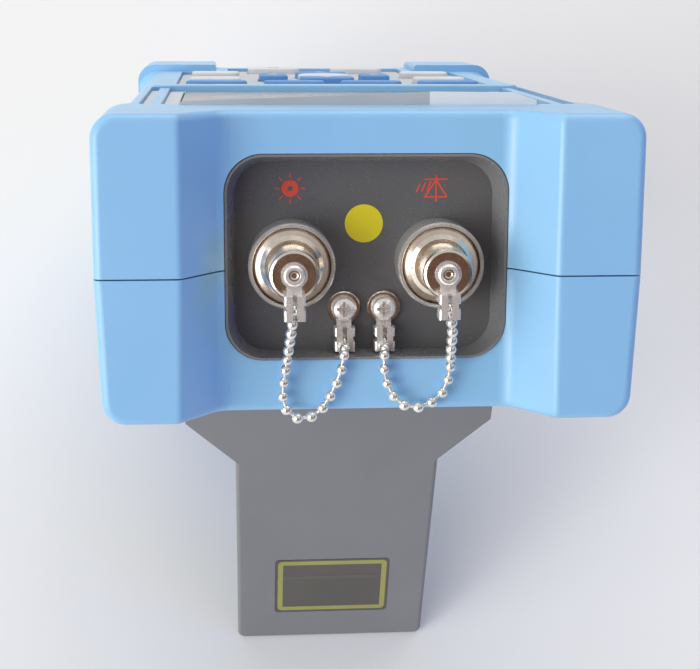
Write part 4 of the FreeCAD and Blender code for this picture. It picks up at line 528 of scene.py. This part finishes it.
cut_film(loose_edge)
fold_down()
bpy.ops.object.mode_set(mode="OBJECT")
front_of_strip = bpy.context.object
cut_film(((0, film_edge - strip_depth, 0), (0, -1, 0), True))
bpy.ops.object.mode_set(mode="OBJECT")
front_of_strip.select_set(True)
bpy.ops.object.join()
bpy.ops.object.mode_set(mode="EDIT")
cut_past(((strip_start, 0, 0), (1, 0, 0), True), ((strip_end, 0, 0), (-1, 0, 0), True))
bpy.ops.mesh.select_all(action="SELECT")
bpy.ops.mesh.normals_make_consistent(inside=False)
bpy.ops.transform.shrink_fatten(value=strip_thickness)
bpy.ops.object.mode_set(mode="OBJECT")
new_piece("pull_strip", "case", white_strip)

# ---------------------------------------------------------------- keypad
# Rubber keys on one mat stand through a grey plate that is stuck in the front shell's recess.
# The arrows and the power sign are pad-printed on their keys.
keypad_grey = moulded("keypad_grey", (0.56, 0.58, 0.62), (0.52, 0.54, 0.58), 0.5)
blue_key = moulded("blue_key", (0.11, 0.32, 0.68), (0.09, 0.28, 0.62), 0.5)
pale_key = moulded("pale_key", (0.72, 0.74, 0.77), (0.67, 0.69, 0.72), 0.5)
white_ink = ink("white_ink", (0.85, 0.86, 0.88))
coat(keypad_grey, "keypad_plate")
coat(moulded("keypad_mat", (0.35, 0.36, 0.38), (0.30, 0.31, 0.33), 0.8), "keypad_mat")
for name in nodes:
    if name.startswith("function_key") or name in ("up_key", "down_key", "left_key", "right_key"):
        coat(blue_key, name)
    elif name.endswith("_key"):
        coat(pale_key, name)

key_top = 0.0334
arrow_radius = 0.0019
ring_outer, ring_inner = 0.0018, 0.00145
bar_start, bar_end, bar_width = 0.0004, 0.0023, 0.00035
on_key_top = on_case @ Matrix.Translation((0, 0, key_top - ink_depth / 4))
for name, turn in (("right_key", 0.0), ("up_key", 0.5), ("left_key", 1.0), ("down_key", 1.5)):
    centre = middle_of(name)
    arrow = flat_ring(3, arrow_radius, 0, centre.x, centre.y, turn * math.pi - math.pi / 2)
    printed(f"{name}_arrow", [arrow], name, white_ink, on_key_top)
centre = middle_of("power_key")
power_sign = [
    flat_ring(36, ring_outer, ring_inner, centre.x, centre.y),
    flat_stroke((centre.x, centre.y + bar_start), (centre.x, centre.y + bar_end), bar_width),
]
printed("power_sign", power_sign, "power_key", red_ink, on_key_top)

# ---------------------------------------------------------------- stand
# A grey moulded plate, satin with a fine spark-eroded texture. Its label is bare but for a
# printed border and a rule.
grey_stand = moulded("grey_stand", (0.215, 0.221, 0.226), (0.198, 0.204, 0.209), 0.5, grain=3800.0)
coat(grey_stand, "stand")
coat(moulded("dark_label", (0.110, 0.106, 0.092), (0.092, 0.088, 0.076), 0.4), "stand_label")
olive_ink = ink("olive_ink", (0.36, 0.36, 0.10))
grey_ink = ink("grey_ink", (0.12, 0.12, 0.12))
label_half_width, label_half_length = 0.0158, 0.01035
border_inset, border_width = 0.0006, 0.0014
rule_inset, rule_place, rule_width = 0.002, 0.0034, 0.0011
stand_length, label_margin = 0.1085, 0.0106
label_middle = -stand_length + label_margin + label_half_length
label_face = -0.0025
on_label = (on_stand @ Matrix.Translation((0, label_middle, label_face + ink_depth / 4))
            @ Matrix.Rotation(math.pi, 4, "Y"))

deselect_all()
bpy.ops.mesh.primitive_plane_add(size=2)
border = bpy.context.object
border.scale = (label_half_width - border_inset, label_half_length - border_inset, 1)
bpy.ops.object.transform_apply(location=False, rotation=False, scale=True)
bpy.ops.object.mode_set(mode="EDIT")
bpy.ops.mesh.select_all(action="SELECT")
bpy.ops.mesh.bevel(offset=border_width, segments=6, affect="VERTICES")
bpy.ops.mesh.select_all(action="SELECT")
bpy.ops.mesh.inset(thickness=border_width)
bpy.ops.mesh.delete(type="FACE")
bpy.ops.object.mode_set(mode="OBJECT")
printed("label_border", [border], "stand", olive_ink, on_label)
rule_end = label_half_width - rule_inset
rule = flat_stroke((-rule_end, rule_place), (rule_end, rule_place), rule_width)
printed("label_rule", [rule], "stand", grey_ink, on_label)

# ---------------------------------------------------------------- inside and side
# Green circuit boards and a shrink-wrapped battery lie inside the shells. On the side a rubber
# flap covers the black power jack.
coat(moulded("circuit_board", (0.02, 0.16, 0.06), (0.015, 0.12, 0.045), 0.4), "main_board", "port_board")
coat(moulded("battery_wrap", (0.03, 0.09, 0.30), (0.025, 0.08, 0.26), 0.3), "battery_pack")
coat(moulded("black_plastic", (0.02, 0.02, 0.02), (0.016, 0.016, 0.016), 0.4), "power_jack")
coat(moulded("blue_rubber", (0.14, 0.37, 0.72), (0.12, 0.33, 0.68), 0.65), "side_cover")
